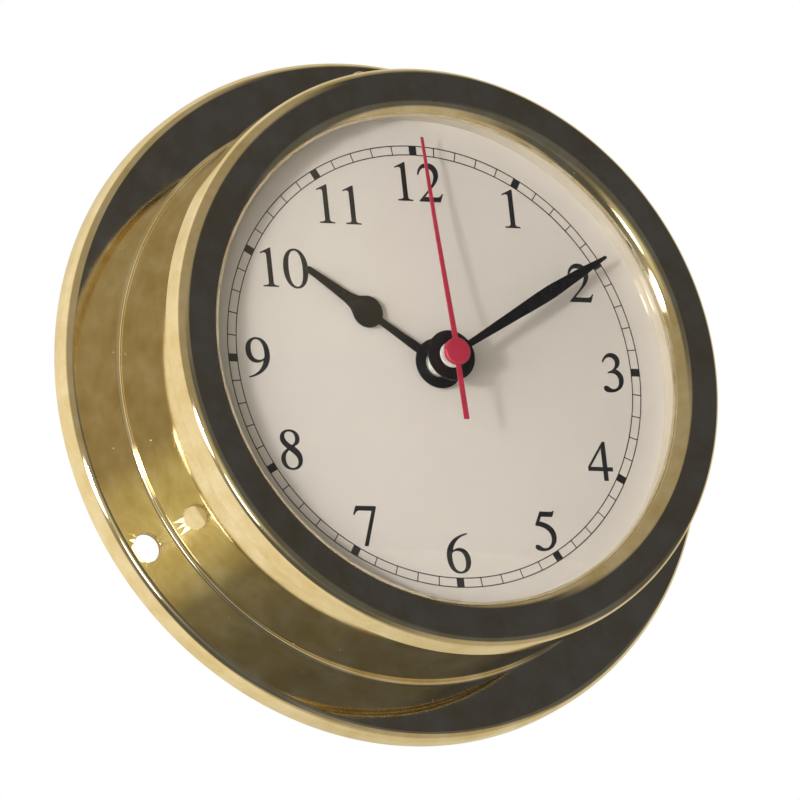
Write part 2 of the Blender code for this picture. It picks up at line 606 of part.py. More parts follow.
def make_reflector_and_gasket():
    """Polished ring round the dial, and the rubber ring behind the crystal's rim."""
    foot_back = DIAL_FRONT + SEAT_GAP
    wall_radius = REFLECTOR_RADIUS + REFLECTOR_WALL
    foot_radius = CRYSTAL_WELL_RADIUS - SEAT_GAP
    under_glass = CRYSTAL_THICKNESS + SEAT_GAP
    profile = [
        (REFLECTOR_RADIUS, foot_back),
        (REFLECTOR_RADIUS, dome_height(REFLECTOR_RADIUS, under_glass)),
        (wall_radius, dome_height(wall_radius, under_glass)),
        (wall_radius, foot_back + REFLECTOR_FOOT),
        (foot_radius, foot_back + REFLECTOR_FOOT),
        (foot_radius, foot_back),
    ]
    piece("reflector_ring", turned(profile), BRASS)
    gasket_back = foot_back + REFLECTOR_FOOT + SEAT_GAP
    inner = foot_radius - GASKET_WIDTH
    gasket = [
        (foot_radius, gasket_back),
        (foot_radius, dome_height(foot_radius, under_glass)),
        (inner, dome_height(inner, under_glass)),
        (inner, gasket_back),
    ]
    piece("crystal_gasket", turned(gasket, PLATE_FACETS), RUBBER)


# Dial and what holds the movement behind it

def make_dial_and_carrier():
    """Flat dial, and the dished plate that the movement hangs from."""
    hole = HOUR_PIPE_RADIUS + RUNNING_GAP
    dial = [(hole, DIAL_BACK), (DIAL_RADIUS, DIAL_BACK), (DIAL_RADIUS, DIAL_FRONT),
            (hole, DIAL_FRONT)]
    piece("dial_plate", turned(dial), DIAL_WHITE)
    cone_outer = DIAL_RADIUS - CARRIER_RIM_WIDTH
    cone_inner = cone_outer - CARRIER_CONE_RUN
    hole = BUSH_RADIUS + SEAT_GAP
    carrier = [
        (DIAL_RADIUS, CARRIER_RIM_BACK), (DIAL_RADIUS, CARRIER_FRONT),
        (cone_outer, CARRIER_FRONT), (cone_inner, DISH_FRONT),
        (hole, DISH_FRONT), (hole, DISH_BACK),
        (cone_inner + 0.5 * CARRIER_SHEET, DISH_BACK),
        (cone_outer + 0.5 * CARRIER_SHEET, CARRIER_RIM_BACK),
    ]
    piece("movement_carrier", turned(carrier, PLATE_FACETS), ZINC)


def make_bush_fixings():
    """Washer and six-sided nut on the movement's bush."""
    hole = circle(BUSH_RADIUS + SEAT_GAP)
    washer = prism([circle(WASHER_RADIUS, facets=24), hole],
                   WASHER_BACK, WASHER_BACK + WASHER_THICKNESS)
    piece("fixing_washer", washer, ZINC)
    corner_radius = 0.5 * NUT_ACROSS_FLATS / math.cos(math.pi / 6.0)
    nut = prism([circle(corner_radius, facets=6), hole], NUT_BACK, NUT_BACK + NUT_THICKNESS)
    piece("fixing_nut", nut, BRASS)


# Movement housing

def bay_outline(bottom, top):
    """Return the outline of one bay of the housing."""
    return rounded_rectangle(-BAY_EDGE, BAY_EDGE, bottom, top, INNER_CORNER, INNER_CORNER)


def make_movement_base():
    """Front half of the housing: two bays, the bush, the pillars and the motion post."""
    outline = rounded_rectangle(-HALF_SIDE, HALF_SIDE, -HALF_SIDE, HALF_SIDE,
                                HOUSING_CORNER, HOUSING_CORNER)
    root = 0.5 * (FLOOR + HOUSING_FRONT)
    below = HOUSING_BACK - HOUSING_WALL
    post_end = MOTION_WHEEL_BACK - 0.5 * LAYER_GAP
    steps = [
        (CUT, prism([bay_outline(WHEEL_BAY_BOTTOM, BAY_EDGE)], below, FLOOR)),
        (CUT, prism([bay_outline(-BAY_EDGE, BATTERY_BAY_TOP)], below, FLOOR)),
        (ADD, cylinder(BUSH_RADIUS, root, BUSH_FRONT)),
        (ADD, cylinder(MOTION_POST_RADIUS, post_end, root, MOTION_AXIS)),
    ]
    for centre in PILLAR_AXES:
        steps.append((ADD, cylinder(PILLAR_RADIUS, MID_PLATE_FRONT + SEAT_GAP, root, centre)))
    steps.append((CUT, cylinder(BUSH_BORE, below, BUSH_FRONT + HOUSING_WALL)))
    shell = prism([outline], HOUSING_BACK, HOUSING_FRONT)
    piece("movement_base", shell, BLACK_PLASTIC, steps=steps)


def make_movement_cover():
    """Back cover over the wheel bay, with a bearing boss for each arbor that it carries."""
    outline = rounded_rectangle(-HALF_SIDE, HALF_SIDE, WHEEL_BAY_BOTTOM - HOUSING_WALL, HALF_SIDE,
                                INNER_CORNER, HOUSING_CORNER)
    shaft_hole = circle(KNOB_SHAFT_RADIUS + RUNNING_GAP, KNOB_AXIS)
    cover = prism([outline, shaft_hole], COVER_BACK, COVER_FRONT)
    root = 0.5 * (COVER_BACK + COVER_FRONT)
    bosses = [
        (ADD, cylinder(BEARING_BOSS_RADIUS, root, ARBOR_END - RUNNING_GAP, centre))
        for centre in ((0.0, 0.0), INTERMEDIATE_AXIS, ROTOR_AXIS)
    ]
    piece("movement_cover", cover, BLACK_PLASTIC, steps=bosses)


def make_mid_plate():
    """Plate between the wheels, with the lower bearings of the third arbor."""
    reach = PILLAR_RADIUS + LAYER_GAP
    axes = PILLAR_AXES + (ROTOR_AXIS, INTERMEDIATE_AXIS)
    outline = rounded_rectangle(
        min(axis[0] for axis in axes) - reach, max(axis[0] for axis in axes) + reach,
        min(axis[1] for axis in axes) - reach, max(axis[1] for axis in axes) + reach,
        reach, reach,
    )
    holes = [circle(SECOND_ARBOR_RADIUS + RUNNING_GAP),
             circle(THIN_ARBOR_RADIUS + RUNNING_GAP, ROTOR_AXIS)]
    piece("mid_plate", prism([outline] + holes, MID_PLATE_BACK, MID_PLATE_FRONT), CLEAR_PLASTIC)


# Wheel train

def wheel(name, finish, axis, turn, rims, arbors=(), bore=0.0):
    """Fuse toothed rims and round arbors on one axis, and bore them if they turn on a post.

    rims holds (teeth, module, tooth, bottom, top) and arbors (radius, bottom, top).
    """
    bodies = [
        prism([toothed(teeth, module, tooth)], bottom, top)
        for teeth, module, tooth, bottom, top in rims
    ]
    bodies += [cylinder(radius, bottom, top) for radius, bottom, top in arbors]
    steps = [(ADD, body) for body in bodies[1:]]
    if bore > 0.0:
        steps.append((CUT, cylinder(bore, COVER_BACK, DOME_FRONT)))
    piece(name, bodies[0], finish, (*axis, 0.0), turn, steps)


def make_driving_wheels():
    """Rotor and intermediate wheel, between the coil and the seconds wheel."""
    magnet_middle = STATOR_MID
    wheel("rotor", MAGNET, ROTOR_AXIS, ROTOR_TURN,
          [(ROTOR_LEAVES, ROTOR_MODULE, PINION_TOOTH,
            INTERMEDIATE_WHEEL_BACK - 0.5 * LAYER_GAP, INTERMEDIATE_WHEEL_FRONT + LAYER_GAP)],
          [(THIN_ARBOR_RADIUS, ARBOR_END, FLOOR_PIVOT),
           (MAGNET_RADIUS, magnet_middle - 0.5 * MAGNET_THICKNESS,
            magnet_middle + 0.5 * MAGNET_THICKNESS)])
    wheel("intermediate_wheel", WHITE_PLASTIC, INTERMEDIATE_AXIS, INTERMEDIATE_TURN,
          [(INTERMEDIATE_TEETH, ROTOR_MODULE, WHEEL_TOOTH,
            INTERMEDIATE_WHEEL_BACK, INTERMEDIATE_WHEEL_FRONT),
           (INTERMEDIATE_LEAVES, INTERMEDIATE_MODULE, PINION_TOOTH,
            INTERMEDIATE_WHEEL_BACK + 0.5 * WHEEL_THICKNESS, SECOND_WHEEL_FRONT + 0.5 * LAYER_GAP)],
          [(THIN_ARBOR_RADIUS, ARBOR_END, MID_PLATE_BACK - RUNNING_GAP)])


def make_time_wheels():
    """Seconds, third and minute wheels, a sixty to one reduction."""
    wheel("second_wheel", WHITE_PLASTIC, (0.0, 0.0), SECOND_TURN,
          [(SECOND_TEETH, INTERMEDIATE_MODULE, WHEEL_TOOTH, SECOND_WHEEL_BACK, SECOND_WHEEL_FRONT),
           (SECOND_LEAVES, SECOND_MODULE, PINION_TOOTH,
            PLATE_PIVOT, MINUTE_WHEEL_BACK - RUNNING_GAP)],
          [(SECOND_ARBOR_RADIUS, ARBOR_END, CAP_BACK - SEAT_GAP)])
    wheel("third_wheel", WHITE_PLASTIC, THIRD_AXIS, THIRD_TURN,
          [(THIRD_TEETH, SECOND_MODULE, WHEEL_TOOTH, THIRD_WHEEL_BACK, THIRD_WHEEL_FRONT),
           (THIRD_LEAVES, MINUTE_MODULE, PINION_TOOTH,
            THIRD_WHEEL_BACK + 0.5 * WHEEL_THICKNESS, MINUTE_WHEEL_FRONT + 0.5 * LAYER_GAP)],
          [(THIN_ARBOR_RADIUS, PLATE_PIVOT, FLOOR_PIVOT)])
    wheel("minute_wheel", WHITE_PLASTIC, (0.0, 0.0), MINUTE_TURN,
          [(MINUTE_TEETH, MINUTE_MODULE, WHEEL_TOOTH, MINUTE_WHEEL_BACK, MINUTE_WHEEL_FRONT),
           (MINUTE_LEAVES, MOTION_MODULE, PINION_TOOTH,
            MINUTE_WHEEL_BACK + 0.5 * WHEEL_THICKNESS, HOUR_WHEEL_BACK - RUNNING_GAP)],
          [(MINUTE_PIPE_RADIUS, MINUTE_WHEEL_BACK + 0.25 * WHEEL_THICKNESS, MINUTE_PIPE_FRONT)],
          bore=MINUTE_PIPE_BORE)


def make_motion_wheels():
    """Motion wheel, hour wheel and the setting knob that turns them from behind."""
    wheel("motion_wheel", WHITE_PLASTIC, MOTION_AXIS, MOTION_TURN,
          [(MOTION_TEETH, MOTION_MODULE, WHEEL_TOOTH, MOTION_WHEEL_BACK, MOTION_WHEEL_FRONT),
           (MOTION_LEAVES, HOUR_MODULE, PINION_TOOTH,
            MOTION_WHEEL_BACK + 0.5 * WHEEL_THICKNESS, FLOOR_PIVOT)],
          bore=MOTION_POST_RADIUS + RUNNING_GAP)
    wheel("hour_wheel", WHITE_PLASTIC, (0.0, 0.0), HOUR_TURN,
          [(HOUR_TEETH, HOUR_MODULE, WHEEL_TOOTH, HOUR_WHEEL_BACK, HOUR_WHEEL_FRONT)],
          [(HOUR_PIPE_RADIUS, 0.5 * (HOUR_WHEEL_BACK + HOUR_WHEEL_FRONT), HOUR_PIPE_FRONT)],
          bore=HOUR_PIPE_BORE)
    knob_back = COVER_BACK - SEAT_GAP - KNOB_THICKNESS
    flutes = []
    for index in range(2 * KNOB_FLUTES):
        radius = KNOB_RADIUS - KNOB_FLUTE_DEPTH * (index % 2)
        flutes.append(polar(radius, math.pi * index / KNOB_FLUTES))
    shaft = cylinder(KNOB_SHAFT_RADIUS, knob_back + 0.5 * KNOB_THICKNESS, FLOOR_PIVOT)
    pinion = prism([toothed(KNOB_LEAVES, MOTION_MODULE, PINION_TOOTH)],
                   MOTION_WHEEL_BACK, MOTION_WHEEL_FRONT)
    piece("setting_knob", prism([flutes], knob_back, knob_back + KNOB_THICKNESS), BLACK_PLASTIC,
          (*KNOB_AXIS, 0.0), KNOB_TURN, [(ADD, shaft), (ADD, pinion)])


# Coil, electronics and battery

def make_motor():
    """Stator sheet round the rotor's magnet, and the coil on its far bar."""
    pole_top = ROTOR_AXIS[1] + STATOR_POLE_HALF_WIDTH
    bar_bottom = COIL_CENTRE - 0.5 * STATOR_ARM
    outer = rounded_rectangle(
        STATOR_LEFT, STATOR_RIGHT, ROTOR_AXIS[1] - STATOR_POLE_HALF_WIDTH,
        COIL_CENTRE + 0.5 * STATOR_ARM, INNER_CORNER, INNER_CORNER)
    window = rounded_rectangle(
        STATOR_LEFT + STATOR_ARM, STATOR_RIGHT - STATOR_ARM, pole_top, bar_bottom,
        SEAT_GAP, SEAT_GAP)
    rotor_hole = circle(MAGNET_RADIUS + RUNNING_GAP, ROTOR_AXIS, 24)
    piece("stator", prism([outer, window, rotor_hole], STATOR_MID - 0.5 * STATOR_SHEET,
                          STATOR_MID + 0.5 * STATOR_SHEET), ZINC)
    half_length = STATOR_POLE_REACH - STATOR_ARM - SEAT_GAP
    bore = math.hypot(0.5 * STATOR_ARM, 0.5 * STATOR_SHEET) + SEAT_GAP
    winding_end = half_length - COIL_FLANGE_THICKNESS
    spool = [
        (bore, -half_length), (COIL_FLANGE_RADIUS, -half_length),
        (COIL_FLANGE_RADIUS, -winding_end), (COIL_RADIUS, -winding_end),
        (COIL_RADIUS, winding_end), (COIL_FLANGE_RADIUS, winding_end),
        (COIL_FLANGE_RADIUS, half_length), (bore, half_length),
    ]
    coil = piece("coil", turned(spool, DETAIL_FACETS), COPPER,
                 (ROTOR_AXIS[0], COIL_CENTRE, STATOR_MID))
    coil.rotation_euler = (0.0, QUARTER_TURN, 0.0)


def make_electronics():
    """Circuit board beside the stator and the quartz can on it."""
    top = BAY_EDGE - SEAT_GAP
    board = rounded_rectangle(-BAY_EDGE + SEAT_GAP, STATOR_LEFT - SEAT_GAP,
                              top - BOARD_WIDTH, top, SEAT_GAP, INNER_CORNER)
    board_back = FLOOR - SEAT_GAP - BOARD_THICKNESS
    piece("circuit_board", prism([board], board_back, board_back + BOARD_THICKNESS), BOARD)
    half = 0.5 * QUARTZ_LENGTH
    can = [(0.0, -half), (QUARTZ_RADIUS, -half), (QUARTZ_RADIUS, half), (0.0, half)]
    height = board_back - SEAT_GAP - QUARTZ_RADIUS
    quartz = piece("quartz_can", turned(can, DETAIL_FACETS), ZINC,
                   (-0.5 * BAY_EDGE, top - 0.5 * BOARD_WIDTH, height))
    quartz.rotation_euler = (0.0, QUARTER_TURN, 0.0)


def make_battery():
    """Cell with its raised end, lying along X in the lower bay."""
    half = 0.5 * BATTERY_LENGTH
    shoulder = half - BATTERY_NUB_HEIGHT
    bevel = 0.5 * BATTERY_NUB_HEIGHT
    profile = [
        (0.0, -half), (BATTERY_RADIUS - bevel, -half), (BATTERY_RADIUS, -half + bevel),
        (BATTERY_RADIUS, shoulder - bevel), (BATTERY_RADIUS - bevel, shoulder),
        (BATTERY_NUB_RADIUS, shoulder), (BATTERY_NUB_RADIUS, half), (0.0, half),
    ]
    battery = piece("battery", turned(profile, 24), BATTERY_JACKET,
                    (0.0, BATTERY_CENTRE, BATTERY_AXIS_HEIGHT))
    battery.rotation_euler = (0.0, QUARTER_TURN, 0.0)


def make_contacts():
    """Sprung contact plate at each end of the battery bay, with a bump towards the cell."""
    plate_edge = BAY_EDGE - SEAT_GAP
    bump_end = 0.5 * BATTERY_LENGTH + SEAT_GAP
    for name, side in (("contact_positive", 1.0), ("contact_negative", -1.0)):
        outline = rounded_rectangle(
            -0.5 * CONTACT_HEIGHT, 0.5 * CONTACT_HEIGHT, -0.5 * CONTACT_WIDTH, 0.5 * CONTACT_WIDTH,
            INNER_CORNER, INNER_CORNER)
        plate = prism([outline], plate_edge - CONTACT_SHEET, plate_edge)
        bump = turned([(0.0, bump_end), (0.5 * CONTACT_BUMP_RADIUS, bump_end),
                       (CONTACT_BUMP_RADIUS, plate_edge - 0.5 * CONTACT_SHEET),
                       (0.0, plate_edge - 0.5 * CONTACT_SHEET)], DETAIL_FACETS)
        place = (0.0, BATTERY_CENTRE, BATTERY_AXIS_HEIGHT)
        made = piece(name, plate, ZINC, place, steps=[(ADD, bump)])
        made.rotation_euler = (0.0, side * QUARTER_TURN, 0.0)
        for step in made.modifiers:
            step.object.rotation_euler = made.rotation_euler


# Hands

def bent(bm, knots):
    """Bend a hand that lies along Y; knots holds (distance along Y, rise), tail end first."""
    for vert in bm.verts:
        for (near, low), (far, high) in zip(knots, knots[1:]):
            if near <= vert.co.y <= far:
                vert.co.z += low + (high - low) * (vert.co.y - near) / (far - near)
                break
    return bm


def hand_outline(hub_radius, edge):
    """Mirror one edge, as (distance, half width) from hub to tip, and close it round the hub."""
    start_distance, start_half = edge[0]
    opening = math.atan2(start_half, start_distance)
    hub = arc((0.0, 0.0), hub_radius, QUARTER_TURN + opening,
              QUARTER_TURN + FULL_TURN - opening, 22)
    right = [(half, distance) for distance, half in edge[1:]]
    left = [(-half, distance) for distance, half in reversed(edge[1:])]
    return hub + right + left


def rounded_tip(length, half_width):
    """Return the edge points of a round tip."""
    points = arc((length - half_width, 0.0), half_width, QUARTER_TURN, 0.0, 3)
    return points[:-1]


def hub_start(half_width):
    """Return the edge point where a stem leaves the hub."""
    return (math.sqrt(HAND_HUB_RADIUS ** 2 - half_width ** 2), half_width)


def make_hour_hand():
    """Hour hand with a pear on its stem."""
    pear_low = -math.acos(HOUR_STEM_HALF_WIDTH / HOUR_PEAR_RADIUS)
    pear = arc((0.0, HOUR_PEAR_CENTRE), HOUR_PEAR_RADIUS, pear_low, HOUR_PEAR_SHOULDER, 8)
    shoulder_half, shoulder = pear[-1]
    edge = [hub_start(HOUR_STEM_HALF_WIDTH)]
    edge += [(distance, half) for half, distance in pear]
    for step in range(1, 5):
        share = step / 4.0
        distance = shoulder + share * (HOUR_NECK - shoulder)
        half = HOUR_STEM_HALF_WIDTH + (shoulder_half - HOUR_STEM_HALF_WIDTH) * (1.0 - share) ** 2
        edge.append((distance, half))
    edge += rounded_tip(HOUR_HAND_LENGTH, HOUR_TIP_HALF_WIDTH)
    hole = circle(HOUR_PIPE_RADIUS + SEAT_GAP)
    body = prism([hand_outline(HAND_HUB_RADIUS, edge), hole],
                 HOUR_HAND_BACK, HOUR_HAND_BACK + HAND_SHEET)
    piece("hour_hand", body, BLACK_ENAMEL, turn=-HOUR_HAND_ANGLE)


def make_minute_hand():
    """Minute hand, a long leaf."""
    edge = [hub_start(MINUTE_ROOT_HALF_WIDTH)]
    for step in range(1, 5):
        share = step / 4.0
        distance = HAND_HUB_RADIUS + share * (MINUTE_BELLY - HAND_HUB_RADIUS)
        swell = 0.5 - 0.5 * math.cos(math.pi * share)
        half = MINUTE_ROOT_HALF_WIDTH + swell * (MINUTE_BELLY_HALF_WIDTH - MINUTE_ROOT_HALF_WIDTH)
        edge.append((distance, half))
    taper_end = MINUTE_HAND_LENGTH - MINUTE_TIP_HALF_WIDTH
    for step in range(1, 5):
        share = step / 5.0
        distance = MINUTE_BELLY + share * (taper_end - MINUTE_BELLY)
        drop = (MINUTE_BELLY_HALF_WIDTH - MINUTE_TIP_HALF_WIDTH) * share ** 1.5
        edge.append((distance, MINUTE_BELLY_HALF_WIDTH - drop))
    edge += rounded_tip(MINUTE_HAND_LENGTH, MINUTE_TIP_HALF_WIDTH)
    hole = circle(MINUTE_PIPE_RADIUS + SEAT_GAP)
    body = prism([hand_outline(HAND_HUB_RADIUS, edge), hole],
                 MINUTE_HAND_BACK, MINUTE_HAND_BACK + HAND_SHEET)
    bent(body, [(HAND_HUB_RADIUS, 0.0), (MINUTE_HAND_LENGTH + HAND_SHEET, -MINUTE_HAND_DROP)])
    piece("minute_hand", body, BLACK_ENAMEL, turn=-MINUTE_HAND_ANGLE)


def make_second_hand():
    """Seconds hand with its tail, on a capped tube."""
    middle_half = 0.5 * (SECOND_TIP_HALF_WIDTH + SECOND_TAIL_HALF_WIDTH)
    edge = [
        (-SECOND_TAIL_LENGTH, SECOND_TAIL_HALF_WIDTH), (-SECOND_CAP_RADIUS, SECOND_TAIL_HALF_WIDTH),
        (SECOND_CAP_RADIUS, SECOND_TAIL_HALF_WIDTH), (SECOND_HAND_BEND, middle_half),
        (SECOND_HAND_LENGTH, SECOND_TIP_HALF_WIDTH),
    ]
    outline = [(half, distance) for distance, half in edge]
    outline += [(-half, distance) for distance, half in reversed(edge)]
    blade = prism([outline], SECOND_HAND_BACK, SECOND_HAND_BACK + HAND_SHEET)
    bent(blade, [
        (-SECOND_TAIL_LENGTH - HAND_SHEET, SECOND_TAIL_LIFT), (-SECOND_CAP_RADIUS, 0.0),
        (SECOND_CAP_RADIUS, 0.0), (SECOND_HAND_BEND, -SECOND_BEND_DROP),
        (SECOND_HAND_LENGTH + HAND_SHEET, -SECOND_TIP_DROP),
    ])
    bore = SECOND_ARBOR_RADIUS + SEAT_GAP
    tube_back = MINUTE_PIPE_FRONT + LAYER_GAP
    profile = [
        (0.0, CAP_BACK), (bore, CAP_BACK), (bore, tube_back),
        (SECOND_TUBE_RADIUS, tube_back), (SECOND_TUBE_RADIUS, CAP_BACK),
        (SECOND_CAP_RADIUS, CAP_BACK), (SECOND_CAP_RADIUS, CAP_FRONT - SECOND_CAP_FILLET),
        (SECOND_CAP_RADIUS - SECOND_CAP_FILLET, CAP_FRONT), (0.0, CAP_FRONT),
    ]
    piece("second_hand", turned(profile, 24), RED_ENAMEL, turn=-SECOND_HAND_ANGLE,
          steps=[(ADD, blade)])


def clear_scene():
    """Remove whatever the scene holds."""
    for item in list(bpy.data.objects):
        bpy.data.objects.remove(item)


def main():
    """Build the clock, from the case inwards."""
    clear_scene()
    frame = bpy.data.objects.new("clock_frame", None)
    frame.rotation_euler = (QUARTER_TURN, 0.0, 0.0)
    bpy.context.scene.collection.objects.link(frame)
    make_case_shell()
    make_seat_ring()
    make_bezel_ring()
    make_crystal()
    make_reflector_and_gasket()
    make_dial_and_carrier()
    make_bush_fixings()
    make_movement_base()
    make_movement_cover()
    make_mid_plate()
    make_driving_wheels()
    make_time_wheels()
    make_motion_wheels()
    make_motor()
    make_electronics()
    make_battery()
    make_contacts()
    make_hour_hand()
    make_minute_hand()
    make_second_hand()
    bpy.context.view_layer.update()


main()
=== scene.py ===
"""A round polished-brass bulkhead clock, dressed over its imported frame.

Sizes are metres. Pieces are drawn in the clock's own frame, with x towards 3 o'clock, y towards
12 o'clock and h out of the dial from the wall, and are placed in the world by at_clock().
"""
import logging
import math
from dataclasses import dataclass, field
from enum import Enum
from typing import Iterable, Sequence

import bmesh
import bpy
from bmesh.types import BMesh, BMVert
from bpy.types import ID, Material, Node, NodeSocket, NodeTree, Object
from mathutils import Matrix, Vector


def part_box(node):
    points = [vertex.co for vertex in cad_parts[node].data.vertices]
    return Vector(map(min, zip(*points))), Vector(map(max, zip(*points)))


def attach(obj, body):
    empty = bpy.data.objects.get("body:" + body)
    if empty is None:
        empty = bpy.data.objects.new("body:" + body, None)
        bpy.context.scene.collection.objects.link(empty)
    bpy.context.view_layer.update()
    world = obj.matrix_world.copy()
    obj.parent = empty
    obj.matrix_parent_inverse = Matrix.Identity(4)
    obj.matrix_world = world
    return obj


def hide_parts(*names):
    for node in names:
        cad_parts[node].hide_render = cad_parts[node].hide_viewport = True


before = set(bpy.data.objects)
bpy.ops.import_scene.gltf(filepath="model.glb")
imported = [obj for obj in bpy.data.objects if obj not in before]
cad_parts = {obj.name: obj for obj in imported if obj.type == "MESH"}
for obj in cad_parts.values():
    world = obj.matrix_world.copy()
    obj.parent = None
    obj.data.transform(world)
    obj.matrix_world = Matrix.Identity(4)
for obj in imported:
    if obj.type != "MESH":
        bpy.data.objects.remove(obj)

LOG = logging.getLogger("clock")
MM = 0.001
TAU = 2.0 * math.pi
FULL_TURN = 240  # edges in a full turn, where nothing else is given
Point = tuple[float, float]
Triple = tuple[float, float, float]
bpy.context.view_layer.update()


def at_clock(x: float, y: float, h: float) -> Vector:
    """Return the world point of a point in the clock's frame."""
    return Vector((x, -h, y))


def in_mm(points: Iterable[Point]) -> list[Point]:
    """Return points that are written in millimetres as metres."""
    return [(x * MM, y * MM) for x, y in points]


def polar(distance: float, direction: float, origin: Point = (0.0, 0.0)) -> Point:
    """Return the point at a distance and direction (radians from +x towards +y)."""
    return (origin[0] + distance * math.cos(direction), origin[1] + distance * math.sin(direction))


def arc(centre: Point, radius: float, start: float, end: float, steps: int = 8) -> list[Point]:
    """Return the points of an arc, both ends included; the angles are in degrees."""
    return [polar(radius, math.radians(start + (end - start) * i / steps), centre)
            for i in range(steps + 1)]


def circle(radius: float, centre: Point = (0.0, 0.0), steps: int = 48) -> list[Point]:
    """Return the points of a circle."""
    return [polar(radius, TAU * i / steps, centre) for i in range(steps)]


def edge_curve(radius: float, height: float, width: float, depth: float, steps: int) -> list[Point]:
    """Return a quarter ellipse from a side at a radius up to a flat face at a height."""
    turns = [0.5 * math.pi * i / steps for i in range(steps + 1)]
    return [(radius - width * (1 - math.cos(t)), height - depth * (1 - math.sin(t))) for t in turns]


def rectangle(left: float, right: float, low: float, high: float) -> list[Point]:
    """Return a rectangle's corners, anticlockwise from the lower left."""
    return [(left, low), (right, low), (right, high), (left, high)]


def corner_curve(start: Vector, corner: Vector, end: Vector, steps: int) -> list[Point]:
    """Return a curve from a start to an end, drawn towards the corner between them."""
    places = (i / steps for i in range(steps + 1))
    return [tuple(start * (1 - t) ** 2 + corner * 2 * t * (1 - t) + end * t ** 2) for t in places]


def eased(points: Sequence[Point], radius: float, steps: int = 4) -> list[Point]:
    """Round every corner of a closed outline.

    Args:
        points: the outline's corners in order.
        radius: the size of the rounding, limited by the shorter neighbour edge.
        steps: edges per corner.

    Returns:
        The outline with a small curve at each corner.
    """
    made: list[Point] = []
    share = 0.45
    for i, here in enumerate(points):
        corner = Vector(here)
        before = Vector(points[i - 1]) - corner
        after = Vector(points[(i + 1) % len(points)]) - corner
        reach = min(radius, share * before.length, share * after.length)
        made += corner_curve(corner + before.normalized() * reach, corner,
                             corner + after.normalized() * reach, steps)
    return made


# ---------------------------------------------------------------- finishes

class Maths(Enum):
    """What a maths node does with its values."""

    ADD = "ADD"
    SUBTRACT = "SUBTRACT"
    TIMES = "MULTIPLY"
    LARGER = "MAXIMUM"
    BELOW = "LESS_THAN"
    ROOT = "SQRT"
    SINE = "SINE"


class Nodes:
    """Short calls for placing and joining shader nodes in one tree."""

    def __init__(self, tree: NodeTree) -> None:
        """Keep the tree that the calls work on."""
        self.tree = tree

    def add(self, kind: str, **values: object) -> Node:
        """Place a node and set its properties.

        Args:
            kind: the node's type name without its ShaderNode prefix.
            **values: properties of the node.

        Returns:
            The new node.
        """
        node = self.tree.nodes.new(f"ShaderNode{kind}")
        for name, value in values.items():
            setattr(node, name, value)
        return node

    def join(self, source: object, target: NodeSocket) -> None:
        """Link an output socket to an input socket, or set a plain value there.

        Args:
            source: the socket or value.
            target: the input socket.
        """
        if isinstance(source, NodeSocket):
            self.tree.links.new(source, target)
        else:
            target.default_value = source

    def feed(self, node: Node, **sources: object) -> Node:
        """Join a source to each named input of a node.

        Args:
            node: the node.
            **sources: sockets or values by input name, with spaces written as underscores.

        Returns:
            The same node.
        """
        for label, source in sources.items():
            self.join(source, node.inputs[label.replace("_", " ")])
        return node

    def maths(self, work: Maths, first: object, *others: object, clamp: bool = False) -> NodeSocket:
        """Join values by a maths node, or by a row of them.

        Args:
            work: what the nodes do.
            first: the first socket or value.
            *others: the rest, or none for work on one value.
            clamp: whether results are kept between 0 and 1.

        Returns:
            The last node's output.
        """
        result = first
        for other in others or (0.0,):
            node = self.add("Math", operation=work.value, use_clamp=clamp)
            self.join(result, node.inputs[0])
            self.join(other, node.inputs[1])
            result = node.outputs[0]
        return result

    def blend(self, factor: object, first: object, second: object) -> NodeSocket:
        """Mix two colours, or two masks.

        Args:
            factor: the second one's share.
            first: a socket, or a colour.
            second: a socket, or a colour.

        Returns:
            The mixed colour's socket.
        """
        node = self.add("Mix", data_type="RGBA")
        self.join(factor, node.inputs[0])
        for value, socket in ((first, node.inputs[6]), (second, node.inputs[7])):
            self.join((*value, 1.0) if isinstance(value, tuple) else value, socket)
        return node.outputs[2]

    def span(self, value: object, low: object, high: object, start: object = 0.0,
             end: object = 1.0) -> NodeSocket:
        """Map a value onto another range, and keep it within that range.

        Args:
            value: the socket to map.
            low: the value that becomes start.
            high: the value that becomes end.
            start: the result at low.
            end: the result at high.

        Returns:
            The mapped value's socket.
        """
        node = self.add("MapRange")
        for index, source in enumerate((value, low, high, start, end)):
            self.join(source, node.inputs[index])
        return node.outputs[0]

    def noise(self, place: NodeSocket, scale: object, detail: float, rough: float) -> NodeSocket:
        """Place a noise texture and return its value."""
        return self.feed(self.add("TexNoise"), Vector=place, Scale=scale, Detail=detail,
                         Roughness=rough).outputs[0]

    def place(self) -> NodeSocket:
        """Return the place on the object."""
        return self.add("TexCoord").outputs["Object"]

    def split(self, vector: NodeSocket) -> Sequence[NodeSocket]:
        """Return the three parts of a vector."""
        return self.feed(self.add("SeparateXYZ"), Vector=vector).outputs

    def mix_shaders(self, factor: NodeSocket, first: Node, second: Node, target: Node) -> None:
        """Mix two shaders and join the result to an output.

        Args:
            factor: the second one's share.
            first: a shader's node.
            second: a shader's node.
            target: the output node.
        """
        mix = self.add("MixShader")
        for source, socket in zip((factor, first.outputs[0], second.outputs[0]), mix.inputs):
            self.join(source, socket)
        self.join(mix.outputs[0], target.inputs["Surface"])


